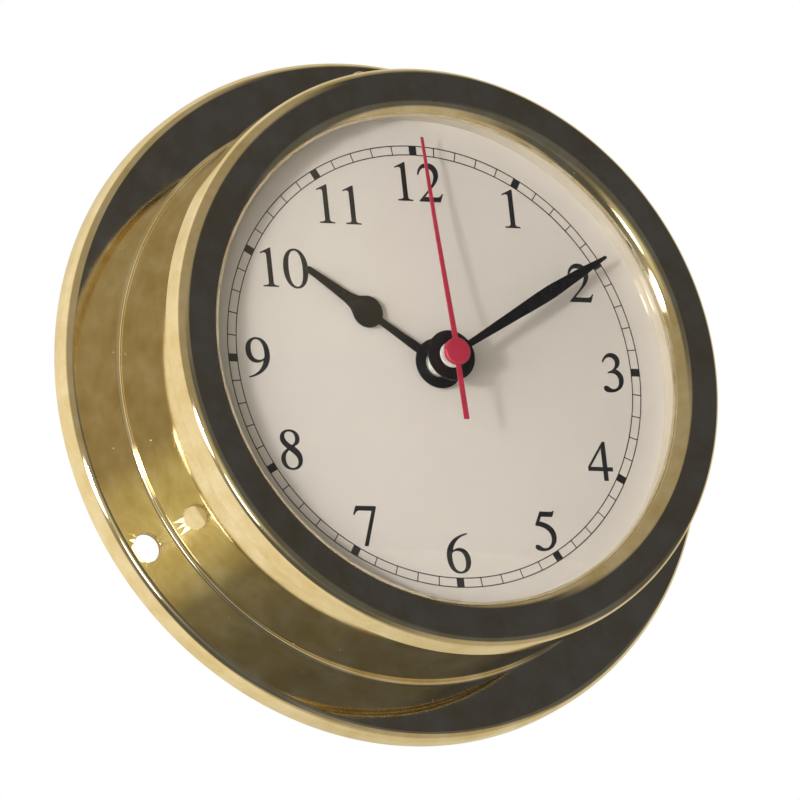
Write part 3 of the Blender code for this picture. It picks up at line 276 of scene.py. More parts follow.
def new_group(name: str, inputs: dict[str, float],
              outputs: Sequence[str]) -> tuple[Nodes, dict[str, NodeSocket], Node]:
    """Start a shader node group with value inputs.

    Args:
        name: the group's name.
        inputs: each input's name and first value.
        outputs: the names of its value outputs.

    Returns:
        The node helper, the input sockets by name, and the output node.
    """
    tree = bpy.data.node_groups.new(name, "ShaderNodeTree")
    sort = "NodeSocketFloat"
    for label, value in inputs.items():
        tree.interface.new_socket(label, in_out="INPUT", socket_type=sort).default_value = value
    for label in outputs:
        tree.interface.new_socket(label, in_out="OUTPUT", socket_type=sort)
    start, end = tree.nodes.new("NodeGroupInput"), tree.nodes.new("NodeGroupOutput")
    return Nodes(tree), {label: start.outputs[label] for label in inputs}, end


def make_smudge_group() -> NodeTree:
    """Build the group for handling marks: soft smears with finer streaks in them.

    Returns:
        A group with inputs Size and Amount, and the output Mask.
    """
    nodes, at, end = new_group("handling_marks", {"Size": 60.0, "Amount": 1.0}, ["Mask"])
    place, finer = nodes.place(), 9.0
    broad = nodes.noise(place, at["Size"], detail=3.0, rough=0.55)
    fine = nodes.noise(place, nodes.maths(Maths.TIMES, at["Size"], finer), detail=4.0, rough=0.65)
    patch = nodes.span(broad, 0.52, 0.72)
    streak = nodes.span(fine, 0.42, 0.68, start=0.35)
    mask = nodes.maths(Maths.TIMES, patch, streak, at["Amount"], clamp=True)
    nodes.feed(end, Mask=mask)
    return nodes.tree


def make_grain_group() -> NodeTree:
    """Build the group for fine surface grain, as a height and a spotty tone.

    Returns:
        A group with input Size, and the outputs Height and Tone.
    """
    nodes, at, end = new_group("fine_grain", {"Size": 900.0}, ["Height", "Tone"])
    place, broader = nodes.place(), 0.12
    height = nodes.noise(place, at["Size"], detail=3.0, rough=0.6)
    tone = nodes.noise(place, nodes.maths(Maths.TIMES, at["Size"], broader), detail=4.0, rough=0.6)
    nodes.feed(end, Height=height, Tone=nodes.span(tone, 0.3, 0.7))
    return nodes.tree


def make_speck_group() -> NodeTree:
    """Build the group for stray specks of dust.

    Returns:
        A group with inputs Size, Radius and Share, and the output Mask.
    """
    first_values = {"Size": 500.0, "Radius": 0.1, "Share": 0.05}
    nodes, at, end = new_group("dust_specks", first_values, ["Mask"])
    cells = nodes.add("TexVoronoi", feature="F1")
    distance, colour, *_ = nodes.feed(cells, Vector=nodes.place(), Scale=at["Size"]).outputs
    chance, size, _ = nodes.feed(nodes.add("SeparateColor"), Color=colour).outputs
    chosen = nodes.maths(Maths.BELOW, chance, at["Share"])
    near = nodes.maths(Maths.BELOW, distance, nodes.maths(Maths.TIMES, size, at["Radius"]))
    nodes.feed(end, Mask=nodes.maths(Maths.TIMES, chosen, near))
    return nodes.tree


def make_wave_group() -> NodeTree:
    """Build the group for the slow waviness that polishing leaves in sheet metal.

    Returns:
        A group with input Size, and the output Height.
    """
    nodes, at, end = new_group("polishing_waves", {"Size": 30.0}, ["Height"])
    nodes.feed(end, Height=nodes.noise(nodes.place(), at["Size"], detail=1.0, rough=0.4))
    return nodes.tree


def make_turning_group() -> NodeTree:
    """Build the group for the fine rings that a lathe leaves round the clock's axis.

    Returns:
        A group with input Size, and the output Height.
    """
    nodes, at, end = new_group("turning_rings", {"Size": 2500.0}, ["Height"])
    x, y, z = nodes.split(nodes.place())
    squares = [nodes.maths(Maths.TIMES, part, part) for part in (x, z)]
    radius = nodes.maths(Maths.ROOT, nodes.maths(Maths.ADD, *squares))
    section = nodes.feed(nodes.add("CombineXYZ"), X=radius, Y=y).outputs[0]
    nodes.feed(end, Height=nodes.noise(section, at["Size"], detail=2.0, rough=0.6))
    return nodes.tree


class Workshop:
    """The shader node groups that the finishes share, each built once."""

    def __init__(self) -> None:
        """Build every group."""
        self.smudges = make_smudge_group()
        self.grain = make_grain_group()
        self.specks = make_speck_group()
        self.waves = make_wave_group()
        self.turning = make_turning_group()


class Dressing(Nodes):
    """The nodes of one material, with its shader and the shared groups at hand."""

    def __init__(self, material: Material, shop: Workshop) -> None:
        """Keep what the dressing needs.

        Args:
            material: the material.
            shop: the shared groups.
        """
        super().__init__(material.node_tree)
        self.shader = material.node_tree.nodes["Principled BSDF"]
        self.shop = shop

    def group(self, shared: NodeTree, **values: float) -> Node:
        """Place a shared group with its own values."""
        return self.feed(self.add("Group", node_tree=shared), **values)

    def bump(self, height: NodeSocket, depth: float, under: NodeSocket | None = None) -> NodeSocket:
        """Join a height to the shader's normal.

        Args:
            height: the height's socket.
            depth: how far it stands out, in millimetres.
            under: the normal of a bump below it.

        Returns:
            The new normal's socket.
        """
        node = self.feed(self.add("Bump"), Strength=1.0, Distance=depth * MM, Height=height)
        if under is not None:
            self.join(under, node.inputs["Normal"])
        self.join(node.outputs[0], self.shader.inputs["Normal"])
        return node.outputs[0]


@dataclass(frozen=True)
class Finish:
    """What every finish has: a name, the record's slot, a colour and a roughness."""

    name: str
    slot: str
    colour: Triple
    roughness: float
    metallic: float = 0.0
    grain_size: float = 900.0
    grain_depth: float = 0.02
    tone_shift: float = 0.12
    smudge: float = 0.1
    smudge_size: float = 55.0
    haze: float = 0.35
    coat: float = 0.0
    coat_roughness: float = 0.08

    def build(self, shop: Workshop) -> Material:
        """Make the material of this finish.

        Args:
            shop: the shared node groups.

        Returns:
            The material.
        """
        made = bpy.data.materials.new(self.name)
        made.use_nodes = True
        work = Dressing(made, shop)
        work.feed(work.shader, Metallic=self.metallic, Coat_Weight=self.coat,
                  Coat_Roughness=self.coat_roughness)
        self.dress(work)
        return made

    def dress(self, work: Dressing) -> None:
        """Feed the shader with grain, tone and handling marks.

        Args:
            work: the material's nodes.
        """
        grain = work.group(work.shop.grain, Size=self.grain_size)
        tone = work.blend(grain.outputs["Tone"], self.shaded(1.0 - self.tone_shift), self.colour)
        work.feed(work.shader, Base_Color=tone, Roughness=self.smeared(work))
        work.bump(grain.outputs["Height"], self.grain_depth)

    def shaded(self, *shares: float) -> Triple:
        """Return the colour times one share, or times one for each of its parts."""
        return tuple(part * share for part, share in zip(self.colour, shares * len(self.colour)))

    def smeared(self, work: Dressing) -> NodeSocket:
        """Return a roughness that rises in the handling marks."""
        mask = work.group(work.shop.smudges, Size=self.smudge_size, Amount=self.smudge).outputs[0]
        return work.span(mask, 0.0, 1.0, self.roughness, self.roughness + self.haze)


@dataclass(frozen=True)
class PolishedBrass(Finish):
    """Hand-polished lacquered brass: mirror bright, slightly wavy, with faint smears and specks."""

    metallic: float = 1.0
    haze: float = 0.22
    smudge_size: float = 48.0
    wave_size: float = 55.0
    wave_depth: float = 0.045
    ring_size: float = 2200.0
    ring_depth: float = 0.0012
    speck_size: float = 520.0
    speck_radius: float = 0.16
    speck_share: float = 0.05
    dust: Triple = (0.86, 0.84, 0.76)
    dust_roughness: float = 0.5
    tarnish: Triple = (0.83, 0.77, 0.6)

    def dress(self, work: Dressing) -> None:
        """Feed the shader with waves, smears, specks and a slow change of tone.

        Args:
            work: the material's nodes.
        """
        shop = work.shop
        grain = work.group(shop.grain, Size=self.grain_size)
        specks = work.group(shop.specks, Size=self.speck_size, Radius=self.speck_radius,
                            Share=self.speck_share).outputs["Mask"]
        tone = work.blend(grain.outputs["Tone"], self.shaded(*self.tarnish), self.colour)
        dull = work.maths(Maths.TIMES, specks, self.dust_roughness)
        work.feed(work.shader, Base_Color=work.blend(specks, tone, self.dust),
                  Roughness=work.maths(Maths.LARGER, self.smeared(work), dull))
        waves = work.group(shop.waves, Size=self.wave_size)
        rings = work.group(shop.turning, Size=self.ring_size)
        normal = None
        for source, depth in ((waves, self.wave_depth), (rings, self.ring_depth),
                              (grain, self.grain_depth)):
            normal = work.bump(source.outputs["Height"], depth, normal)


@dataclass(frozen=True)
class ClearGlass(Finish):
    """Clear mineral glass with a trace of wiping marks; lamps shine through it."""

    haze: float = 0.03
    smudge_size: float = 40.0
    refraction: float = 1.5

    def dress(self, work: Dressing) -> None:
        """Set plain transmission, mark the roughness, and let lamps through.

        Args:
            work: the material's nodes.
        """
        work.feed(work.shader, Transmission_Weight=1.0, IOR=self.refraction,
                  Base_Color=(*self.colour, 1.0), Roughness=self.smeared(work))
        work.mix_shaders(work.add("LightPath").outputs["Is Shadow Ray"], work.shader,
                         work.add("BsdfTransparent"), work.tree.nodes["Material Output"])


@dataclass(frozen=True)
class WoundWire(Finish):
    """Enamelled copper wire in close turns along x, its colour darkened in the furrows between
    turns as painted shade.
    """

    metallic: float = 1.0
    haze: float = 0.15
    turn: float = 0.12 * MM
    turn_depth: float = 0.03
    # share of the colour left in the furrows: painted shade between the turns
    furrow_shade: float = 0.45
    furrow_share: float = 0.2
    spot_share: float = 0.25

    def dress(self, work: Dressing) -> None:
        """Feed the shader with the turns of the wire, painting shade into the furrows between them.

        Args:
            work: the material's nodes.
        """
        along, _, _ = work.split(work.place())
        turns = work.maths(Maths.SINE, work.maths(Maths.TIMES, along, TAU / self.turn))
        spots = work.group(work.shop.grain, Size=self.grain_size).outputs["Tone"]
        # Painted shade: the colour is darkened in the furrows between the wire's turns.
        dark = self.shaded(self.furrow_shade)
        shade = work.blend(work.span(turns, -1.0, self.furrow_share), dark, self.colour)
        tone = work.blend(self.spot_share, shade, work.blend(spots, dark, self.colour))
        rough = work.span(spots, 0.0, 1.0, self.roughness, self.roughness + self.haze)
        work.feed(work.shader, Base_Color=tone, Roughness=rough)
        work.bump(turns, self.turn_depth)


@dataclass(frozen=True)
class Palette:
    """Every finish of the clock."""

    brass: Finish = PolishedBrass("polished_brass", "brass", (0.915, 0.83, 0.635), 0.06,
                                  grain_size=1500.0, grain_depth=0.0006, smudge=0.55)
    turned_brass: Finish = PolishedBrass("turned_brass", "brass", (0.84, 0.75, 0.54), 0.2,
                                         grain_size=2400.0, grain_depth=0.004, smudge=0.8)
    # The bores' brass is darkened as painted shade inside the screw holes; its higher roughness is
    # the drilled surface.
    drilled_brass: Finish = PolishedBrass("drilled_brass", "brass", (0.42, 0.27, 0.10), 0.32,
                                          grain_size=2400.0, grain_depth=0.004, smudge=0.8)
    glass: Finish = ClearGlass("clear_glass", "glass", (0.985, 0.99, 0.985), 0.0, smudge=0.3)
    dial: Finish = Finish("dial_paint", "dial_paint", (0.785, 0.74, 0.70), 0.42, grain_size=2600.0,
                          grain_depth=0.006, tone_shift=0.03, smudge=0.2)
    pale_ring: Finish = Finish("ring_paint", "dial_paint", (0.62, 0.56, 0.46), 0.3,
                               grain_size=1800.0, grain_depth=0.004, tone_shift=0.05, smudge=0.3)
    ink: Finish = Finish("printed_ink", "dial_paint", (0.018, 0.018, 0.02), 0.38,
                         grain_size=3000.0, grain_depth=0.004, tone_shift=0.4)
    black: Finish = Finish("black_enamel", "black_enamel", (0.011, 0.0105, 0.010), 0.27,
                           grain_size=1200.0, grain_depth=0.004, tone_shift=0.3, coat=0.1)
    red: Finish = Finish("red_enamel", "red_enamel", (0.50, 0.032, 0.07), 0.32, grain_size=1200.0,
                         grain_depth=0.004, tone_shift=0.1, coat=0.2)
    plastic: Finish = Finish("black_moulding", "black_moulding", (0.026, 0.026, 0.028), 0.42,
                             grain_size=1800.0, grain_depth=0.02, tone_shift=0.25, smudge=0.6)
    steel: Finish = Finish("plated_steel", "plated_steel", (0.62, 0.625, 0.62), 0.28, 1.0,
                           grain_size=1500.0, grain_depth=0.006, tone_shift=0.12, smudge=0.6)
    rubber: Finish = Finish("rubber", "rubber", (0.022, 0.022, 0.022), 0.72, grain_size=1800.0,
                            grain_depth=0.02, tone_shift=0.3, haze=0.28)
    acetal: Finish = Finish("white_acetal", "white_acetal", (0.80, 0.79, 0.75), 0.38,
                            grain_size=1600.0, grain_depth=0.01, tone_shift=0.06)
    natural: Finish = Finish("natural_plastic", "natural_plastic", (0.66, 0.66, 0.60), 0.35,
                             grain_size=1600.0, grain_depth=0.01, tone_shift=0.08)
    magnet: Finish = Finish("magnet_ferrite", "magnet", (0.10, 0.10, 0.11), 0.5, 0.4,
                            grain_size=2000.0, grain_depth=0.02, tone_shift=0.3)
    copper: Finish = WoundWire("copper_winding", "copper", (0.66, 0.30, 0.13), 0.32)
    laminate: Finish = Finish("circuit_laminate", "laminate", (0.36, 0.24, 0.11), 0.5,
                              grain_size=1400.0, grain_depth=0.01, tone_shift=0.3)
    jacket: Finish = Finish("battery_jacket", "battery_jacket", (0.10, 0.14, 0.24), 0.3, 0.2,
                            grain_depth=0.004, tone_shift=0.15, coat=0.5)
    floor: Finish = Finish("pale_floor", "", (0.92, 0.93, 0.96), 0.8, grain_size=40.0,
                           grain_depth=0.01, tone_shift=0.02, haze=0.2)


class Materials(dict[Finish, Material]):
    """The materials by finish, each built when it is first asked for."""

    def __init__(self) -> None:
        """Build nothing yet but the shared groups."""
        super().__init__()
        self.shop = Workshop()

    def __missing__(self, finish: Finish) -> Material:
        """Build a finish's material."""
        self[finish] = finish.build(self.shop)
        return self[finish]


# ---------------------------------------------------------------- forms

def ring_of(bm: BMesh, points: Iterable[Point], height: float) -> list[BMVert]:
    """Add a ring of vertices at one height and return it."""
    return [bm.verts.new(at_clock(x, y, height)) for x, y in points]


def join_rings(bm: BMesh, low: Sequence[BMVert], high: Sequence[BMVert]) -> None:
    """Fill the band between two rings.

    Args:
        bm: the mesh.
        low: a ring, or one vertex repeated.
        high: the other ring, with as many vertices.
    """
    for i in range(len(low)):
        j = (i + 1) % len(low)
        corners = list(dict.fromkeys((low[i], low[j], high[j], high[i])))
        if len(corners) > 2:
            bm.faces.new(corners)


def lathe(profile: Sequence[Point], steps: int = FULL_TURN, closed: bool = True,
          body: BMesh | None = None) -> BMesh:
    """Spin a (radius, height) outline about the dial's axis.

    Args:
        profile: points anticlockwise round the section, so that faces look outwards.
        steps: divisions of the full turn.
        closed: whether the last point joins the first.
        body: a mesh to add to.

    Returns:
        The mesh, in world axes.
    """
    bm, nothing = body or bmesh.new(), 1e-9
    rings = []
    for radius, height in profile:
        if radius < nothing:
            rings.append(ring_of(bm, [(0.0, 0.0)], height) * steps)
        else:
            rings.append(ring_of(bm, circle(radius, steps=steps), height))
    for low, high in zip(rings, rings[1:] + rings[:closed]):
        join_rings(bm, low, high)
    return bm


def rim_curve(ease: float, height: float, turns: Iterable[float]) -> list[Point]:
    """Return a rounded rim as (inset, height) at some turns of a quarter circle, in radians."""
    return [(ease * (1 - math.sin(turn)), height + ease * (1 - math.cos(turn))) for turn in turns]


def slab(outlines: Sequence[Sequence[Point]], low: float, high: float, ease: float = 0.0,
         body: BMesh | None = None, grow: float = 0.0) -> BMesh:
    """Raise a flat shape with holes between two heights, with rounded rims.

    Args:
        outlines: the outer outline, anticlockwise, then any holes.
        low: the back height.
        high: the front height.
        ease: the radius of the rim's rounding.
        body: a mesh to add to.
        grow: how far the outlines are moved out of the shape, where the rim isn't rounded.

    Returns:
        The mesh, in world axes.
    """
    bm, steps = body or bmesh.new(), 3
    levels = [(-grow, low), (-grow, high)]
    if ease > 0.0:
        levels = rim_curve(ease, low, [0.5 * math.pi * i / steps for i in range(steps + 1)])
        levels += [(inset, low + high - height) for inset, height in reversed(levels)]
    caps: tuple[list, list] = ([], [])
    for index, outline in enumerate(outlines):
        points = list(outline) if (area(outline) > 0) == (index == 0) else list(reversed(outline))
        rings = [ring_of(bm, inset_outline(points, inset), height) for inset, height in levels]
        for lower, upper in zip(rings, rings[1:]):
            join_rings(bm, lower, upper)
        for cap, ring in zip(caps, (rings[0], rings[-1])):
            cap += [bm.edges.get((ring[i], ring[(i + 1) % len(ring)])) for i in range(len(ring))]
    for cap in caps:
        bmesh.ops.triangle_fill(bm, edges=cap, use_beauty=True)
    bmesh.ops.recalc_face_normals(bm, faces=bm.faces[:])
    return bm


def area(outline: Sequence[Point]) -> float:
    """Return the signed area of a closed outline."""
    following = [*outline[1:], outline[0]]
    return 0.5 * sum(a[0] * b[1] - b[0] * a[1] for a, b in zip(outline, following))


def inset_outline(points: Sequence[Point], distance: float) -> list[Point]:
    """Move a closed outline to its left (inwards where it runs anticlockwise).

    Args:
        points: the outline.
        distance: how far it moves.

    Returns:
        The moved outline.
    """
    if distance == 0.0:
        return list(points)
    moved: list[Point] = []
    least, nothing = 0.35, 1e-6
    for i, here in enumerate(points):
        before = (Vector(here) - Vector(points[i - 1])).normalized()
        after = (Vector(points[(i + 1) % len(points)]) - Vector(here)).normalized()
        left = Vector((-before.y, before.x))
        side = Vector((-before.y - after.y, before.x + after.x))
        side = left if side.length < nothing else side.normalized()
        share = max(least, side.dot(left))
        moved.append((here[0] + side.x * distance / share, here[1] + side.y * distance / share))
    return moved


def add_object(name: str, data: ID) -> Object:
    """Put a new object in the scene.

    Args:
        name: its name.
        data: its mesh, lamp or camera.

    Returns:
        The object.
    """
    made = bpy.data.objects.new(name, data)
    bpy.context.scene.collection.objects.link(made)
    return made


class Body(Enum):
    """The clock's bodies that new pieces ride on."""

    CASE = "case"
    BEZEL = "bezel"
    CELL = "cell"
    HOURS = "hours"
    MINUTES = "minutes"
    SECONDS = "seconds"


class Bench:
    """Turns meshes into finished pieces that ride on the clock's bodies."""

    def __init__(self, materials: Materials) -> None:
        """Keep the materials that pieces are dressed in."""
        self.materials = materials

    def piece(self, name: str, bm: BMesh, finish: Finish, body: Body,
              replaces: Sequence[str] = (), sharp: float = 32.0) -> Object:
        """Make one piece from a mesh.

        Args:
            name: the piece's name.
            bm: its mesh in world axes; it is freed.
            finish: what it is dressed in.
            body: the body that it rides on.
            replaces: the frame's nodes that it stands for.
            sharp: the angle in degrees above which an edge is kept crisp.

        Returns:
            The new object.
        """
        bmesh.ops.recalc_face_normals(bm, faces=bm.faces[:])
        mesh = bpy.data.meshes.new(name)
        bm.to_mesh(mesh)
        bm.free()
        mesh.shade_smooth()
        mesh.set_sharp_from_angle(angle=math.radians(sharp))
        made = add_object(name, mesh)
        mesh.materials.append(self.materials[finish])
        made.modifiers.new("flat_faces_lead", "WEIGHTED_NORMAL").keep_sharp = True
        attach(made, body.value)
        if replaces:
            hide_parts(*replaces)
        LOG.info("%s: %d faces on %s", name, len(mesh.polygons), body.value)
        return made

    def dress(self, node: str, finish: Finish) -> None:
        """Give a node of the frame a finish.

        Args:
            node: the node's name.
            finish: its finish.
        """
        for slot in bpy.data.objects[node].material_slots:
            slot.material = self.materials[finish]
        LOG.info("%s: dressed in %s", node, finish.name)


@dataclass
class Assembly:
    """One group of things that are made together at the bench."""

    bench: Bench

    def build(self) -> None:
        """Make everything in the group."""
        raise NotImplementedError


# ---------------------------------------------------------------- case and bezel

@dataclass
class Case(Assembly):
    """Flanged brass drum with its screw holes, and the ring that the dial rests on."""

    flange_radius: float = 63.5 * MM
    flange_depth: float = 4.7 * MM
    edge_width: float = 1.75 * MM
    edge_depth: float = 2.3 * MM
    wall: float = 1.0 * MM
    drum_radius: float = 53.0 * MM
    drum_depth: float = 25.2 * MM
    root: float = 0.8 * MM
    mouth_ease: float = 0.15 * MM
    hole_radius: float = 2.6 * MM
    hole_circle: float = 58.9 * MM
    hole_lip: float = 0.15 * MM
    hole_lip_turns: tuple[float, ...] = (0.0, 0.52, 1.05, 0.5 * math.pi)
    hole_hours: tuple[float, ...] = (12.05, 3.6, 8.0)
    hole_rounding: tuple[Point, ...] = ((0.0, 0.22), (0.015, 0.12), (0.05, 0.045), (0.1, 0.008),
                                        (0.14, 0.0))
    seat_front: float = 20.6 * MM
    seat_depth: float = 2.0 * MM
    seat_width: float = 4.2 * MM
    seat_gap: float = 0.3 * MM
    seat_ease: float = 0.2 * MM

    def build(self) -> None:
        """Make the case's pieces."""
        self.build_shell()
        outer = self.drum_radius - self.wall - self.seat_gap
        section = rectangle(outer - self.seat_width, outer, self.seat_front - self.seat_depth,
                            self.seat_front)
        self.bench.piece("seat_ring_turned", lathe(eased(section, self.seat_ease)),
                         Palette.turned_brass, Body.CASE, ["seat_ring"])

    def build_shell(self) -> None:
        """Make the flanged drum: two flat annuli with holes, joined by turned sections."""
        bm, touching = bmesh.new(), 1e-7
        edge, flat = self.flange_radius, self.flange_radius - self.edge_width
        back, inside = self.flange_depth - self.wall, edge - self.wall
        foot = (self.drum_radius + self.root, self.flange_depth + self.root)
        ease, mouth = self.mouth_ease, self.drum_depth - self.mouth_ease
        outside = arc(foot, self.root, 270, 180, 10)
        outside += arc((self.drum_radius - ease, mouth), ease, 0, 90, 3)
        outside += arc((self.drum_radius - self.wall + ease, mouth), ease, 90, 180, 3)
        outside += arc(foot, self.root + self.wall, 180, 270, 10)
        rim = edge_curve(inside, back, inside - flat, self.edge_depth - self.wall, 10)[::-1]
        rim += arc((inside + ease, ease), ease, 180, 270, 3)
        rim += arc((edge - ease, ease), ease, 270, 360, 3)
        rim += edge_curve(edge, self.flange_depth, self.edge_width, self.edge_depth, 20)
        lathe(outside, closed=False, body=bm)
        lathe(rim, closed=False, body=bm)
        lip = rim_curve(self.hole_lip, back, self.hole_lip_turns)
        front = [(out * MM, self.flange_depth - drop * MM) for out, drop in self.hole_rounding]
        self.add_holed_face(bm, foot[0], flat, self.flange_depth, front[-1][0])
        self.add_holed_face(bm, foot[0], flat, back, self.hole_lip)
        self.add_hole_walls(bm, lip)
        self.add_hole_walls(bm, front)
        bmesh.ops.remove_doubles(bm, verts=bm.verts[:], dist=touching)
        self.bench.piece("case_spun", bm, Palette.brass, Body.CASE, ["case_shell"])
        # The bore walls carry painted shade: their brass is darkened where the holes lie in shade.
        bores = bmesh.new()
        self.add_hole_walls(bores, [lip[-1], front[0]])
        self.bench.piece("screw_hole_bores", bores, Palette.drilled_brass, Body.CASE)

    def hole_centres(self) -> list[Point]:
        """Return the middle of each screw hole."""
        return [polar(self.hole_circle, math.radians(90 - 30 * hour)) for hour in self.hole_hours]

    def add_holed_face(self, bm: BMesh, inner: float, outer: float, height: float,
                       margin: float) -> None:
        """Fill one flat annulus up to its screw holes.

        Args:
            bm: the mesh.
            inner: the annulus's inner radius.
            outer: its outer radius.
            height: its height.
            margin: how far from each hole it ends.
        """
        edges = []
        loops = [circle(inner, steps=FULL_TURN), circle(outer, steps=FULL_TURN)]
        loops += [circle(self.hole_radius + margin, centre) for centre in self.hole_centres()]
        for loop in loops:
            ring = ring_of(bm, loop, height)
            edges += [bm.edges.new((ring[i - 1], ring[i])) for i in range(len(ring))]
        bmesh.ops.triangle_fill(bm, edges=edges, use_beauty=True)

    def add_hole_walls(self, bm: BMesh, section: Sequence[Point]) -> None:
        """Turn a section about each screw hole.

        Args:
            bm: the mesh.
            section: points of (distance outside the hole, height).
        """
        for centre in self.hole_centres():
            rings = [ring_of(bm, circle(self.hole_radius + out, centre), height)
                     for out, height in section]
            for low, high in zip(rings, rings[1:]):
                join_rings(bm, low, high)


@dataclass
class Bezel(Assembly):
    """The ring that pulls off the front, with its crystal, seal, gasket and bright inner ring."""

    back: float = 25.5 * MM
    front: float = 30.5 * MM
    radius: float = 53.7 * MM
    edge_width: float = 2.1 * MM
    edge_depth: float = 1.55 * MM
    draft: float = 0.2 * MM
    back_ease: float = 0.12 * MM
    flat_inner: float = 47.75 * MM
    crease: float = 0.3 * MM
    slope_radius: float = 3.37 * MM
    slope_start: float = 3.0
    slope_end: float = 60.0
    lip_radius: float = 45.0 * MM
    lip_back: float = 27.93 * MM
    lip_ease: float = 0.06 * MM
    lip_step: float = 0.05 * MM
    spigot_radius: float = 51.7 * MM
    spigot_back: float = 20.9 * MM
    spigot_ease: float = 0.2 * MM
    well_radius: float = 49.6 * MM
    glass_well: float = 47.3 * MM
    dial_front: float = 23.0 * MM
    gap: float = 0.3 * MM
    seal_section: float = 0.55 * MM
    glass_radius: float = 47.0 * MM
    glass_thickness: float = 1.5 * MM
    glass_front: float = 34.45 * MM
    glass_edge: float = 0.12 * MM
    dome: float = 156.44 * MM
    ring_wall: float = 0.6 * MM
    ring_reveal: float = 0.5 * MM
    ring_foot: float = 1.0 * MM
    ring_gap: float = 0.04 * MM
    ring_ease: float = 0.08 * MM
    gasket_width: float = 0.6 * MM
    gasket_ease: float = 0.1 * MM

    def glass_height(self, radius: float, depth: float = 0.0) -> float:
        """Return the height of the glass's front, or of a surface a depth behind it."""
        sphere = self.dome - depth
        return self.glass_front - depth - sphere + math.sqrt(sphere ** 2 - radius ** 2)

    def build(self) -> None:
        """Make the bezel's pieces."""
        self.build_ring()
        self.build_glass()
        self.build_inner_ring()

    def build_ring(self) -> None:
        """Make the turned ring and the rubber seal in its groove."""
        first, spigot, well = math.radians(self.slope_start), self.spigot_radius, self.glass_well
        centre = (self.flat_inner + self.slope_radius * math.sin(first),
                  self.front - self.slope_radius * math.cos(first))
        slope = arc(centre, self.slope_radius, 90 + self.slope_end, 90 + self.slope_start, 20)
        edge = edge_curve(self.radius - self.draft, self.front, self.edge_width,
                          self.edge_depth, 20)
        middle, half = 0.5 * (self.spigot_back + self.back), self.seal_section + self.gap
        groove = spigot - 2.0 * self.seal_section - self.gap
        ledge = self.dial_front + self.gap
        section = [(self.lip_radius + self.lip_ease, self.lip_back),
                   (self.lip_radius, self.lip_back + self.lip_ease),
                   (self.lip_radius, slope[0][1] - self.lip_step),
                   *slope[1:-1], *self.crease_points(slope[-2]), *edge[::-1],
                   *self.corner(self.radius, self.back, self.back_ease),
                   (spigot, self.back), (spigot, middle + half), (groove, middle + half),
                   (groove, middle - half), (spigot, middle - half),
                   *self.corner(spigot, self.spigot_back, self.spigot_ease),
                   (self.well_radius, self.spigot_back), (self.well_radius, ledge), (well, ledge),
                   (well, self.glass_height(well) + self.gap)]
        self.bench.piece("bezel_turned", lathe(section[::-1], steps=288), Palette.brass,
                         Body.BEZEL, ["bezel_ring"])
        seal_centre = (groove + self.gap + self.seal_section, middle)
        seal = circle(self.seal_section, seal_centre, steps=14)
        self.bench.piece("seal_moulded", lathe(seal), Palette.rubber, Body.BEZEL, ["bezel_seal"])

    @staticmethod
    def corner(radius: float, back: float, ease: float) -> list[Point]:
        """Return the rounding between a side at a radius and the back below it."""
        return arc((radius - ease, back + ease), ease, 0, -90, 3)

    def crease_points(self, before: Point) -> list[Point]:
        """Return the small rounding between the slope and the flat face.

        Args:
            before: the slope's last point.

        Returns:
            The rounding's points.
        """
        corner, share = Vector((self.flat_inner, self.front)), 0.8
        back = Vector(before) - corner
        near = corner + back.normalized() * min(self.crease, back.length * share)
        return corner_curve(near, corner, Vector((self.flat_inner + self.crease, self.front)), 4)

    def build_glass(self) -> None:
        """Make the domed crystal, with its ground edge."""
        count, edge, radius, depth = 26, self.glass_edge, self.glass_radius, self.glass_thickness
        stations = [min(radius * math.sin(0.5 * math.pi * i / count), radius - edge)
                    for i in range(count)]
        stations = list(dict.fromkeys([*stations, radius - edge]))
        section = [*((r, self.glass_height(r)) for r in stations),
                   (radius, self.glass_height(radius) - edge),
                   (radius, self.glass_height(radius, depth) + edge),
                   *((r, self.glass_height(r, depth)) for r in reversed(stations))]
        self.bench.piece("crystal_domed", lathe(section[::-1], steps=192, closed=False),
                         Palette.glass, Body.BEZEL, ["crystal"])

    def build_inner_ring(self) -> None:
        """Make the bright ring round the dial and the rubber gasket behind the glass."""
        foot, front = self.dial_front + self.gap, self.dial_front + self.ring_gap
        step, gasket = foot + self.ring_foot, foot + self.ring_foot + self.gap
        inner, outer = self.lip_radius + self.ring_reveal, self.glass_well - self.gap
        wall, soft = inner + self.ring_wall, outer - self.gasket_width
        near, under = self.glass_thickness + 2.0 * self.ring_gap, self.glass_thickness + self.gap
        ring = [(inner, front), (wall, front), (wall, foot), (outer, foot), (outer, step),
                (wall, step), (wall, self.glass_height(wall, near)),
                (inner, self.glass_height(inner, near))]
        self.bench.piece("inner_ring_turned", lathe(eased(ring, self.ring_ease, 2)),
                         Palette.pale_ring, Body.BEZEL, ["reflector_ring"])
        rubber = [(soft, gasket), (outer, gasket), (outer, self.glass_height(outer, under)),
                  (soft, self.glass_height(soft, under))]
        self.bench.piece("gasket_moulded", lathe(eased(rubber, self.gasket_ease, 2), steps=160),
                         Palette.rubber, Body.BEZEL, ["crystal_gasket"])


# ---------------------------------------------------------------- dial

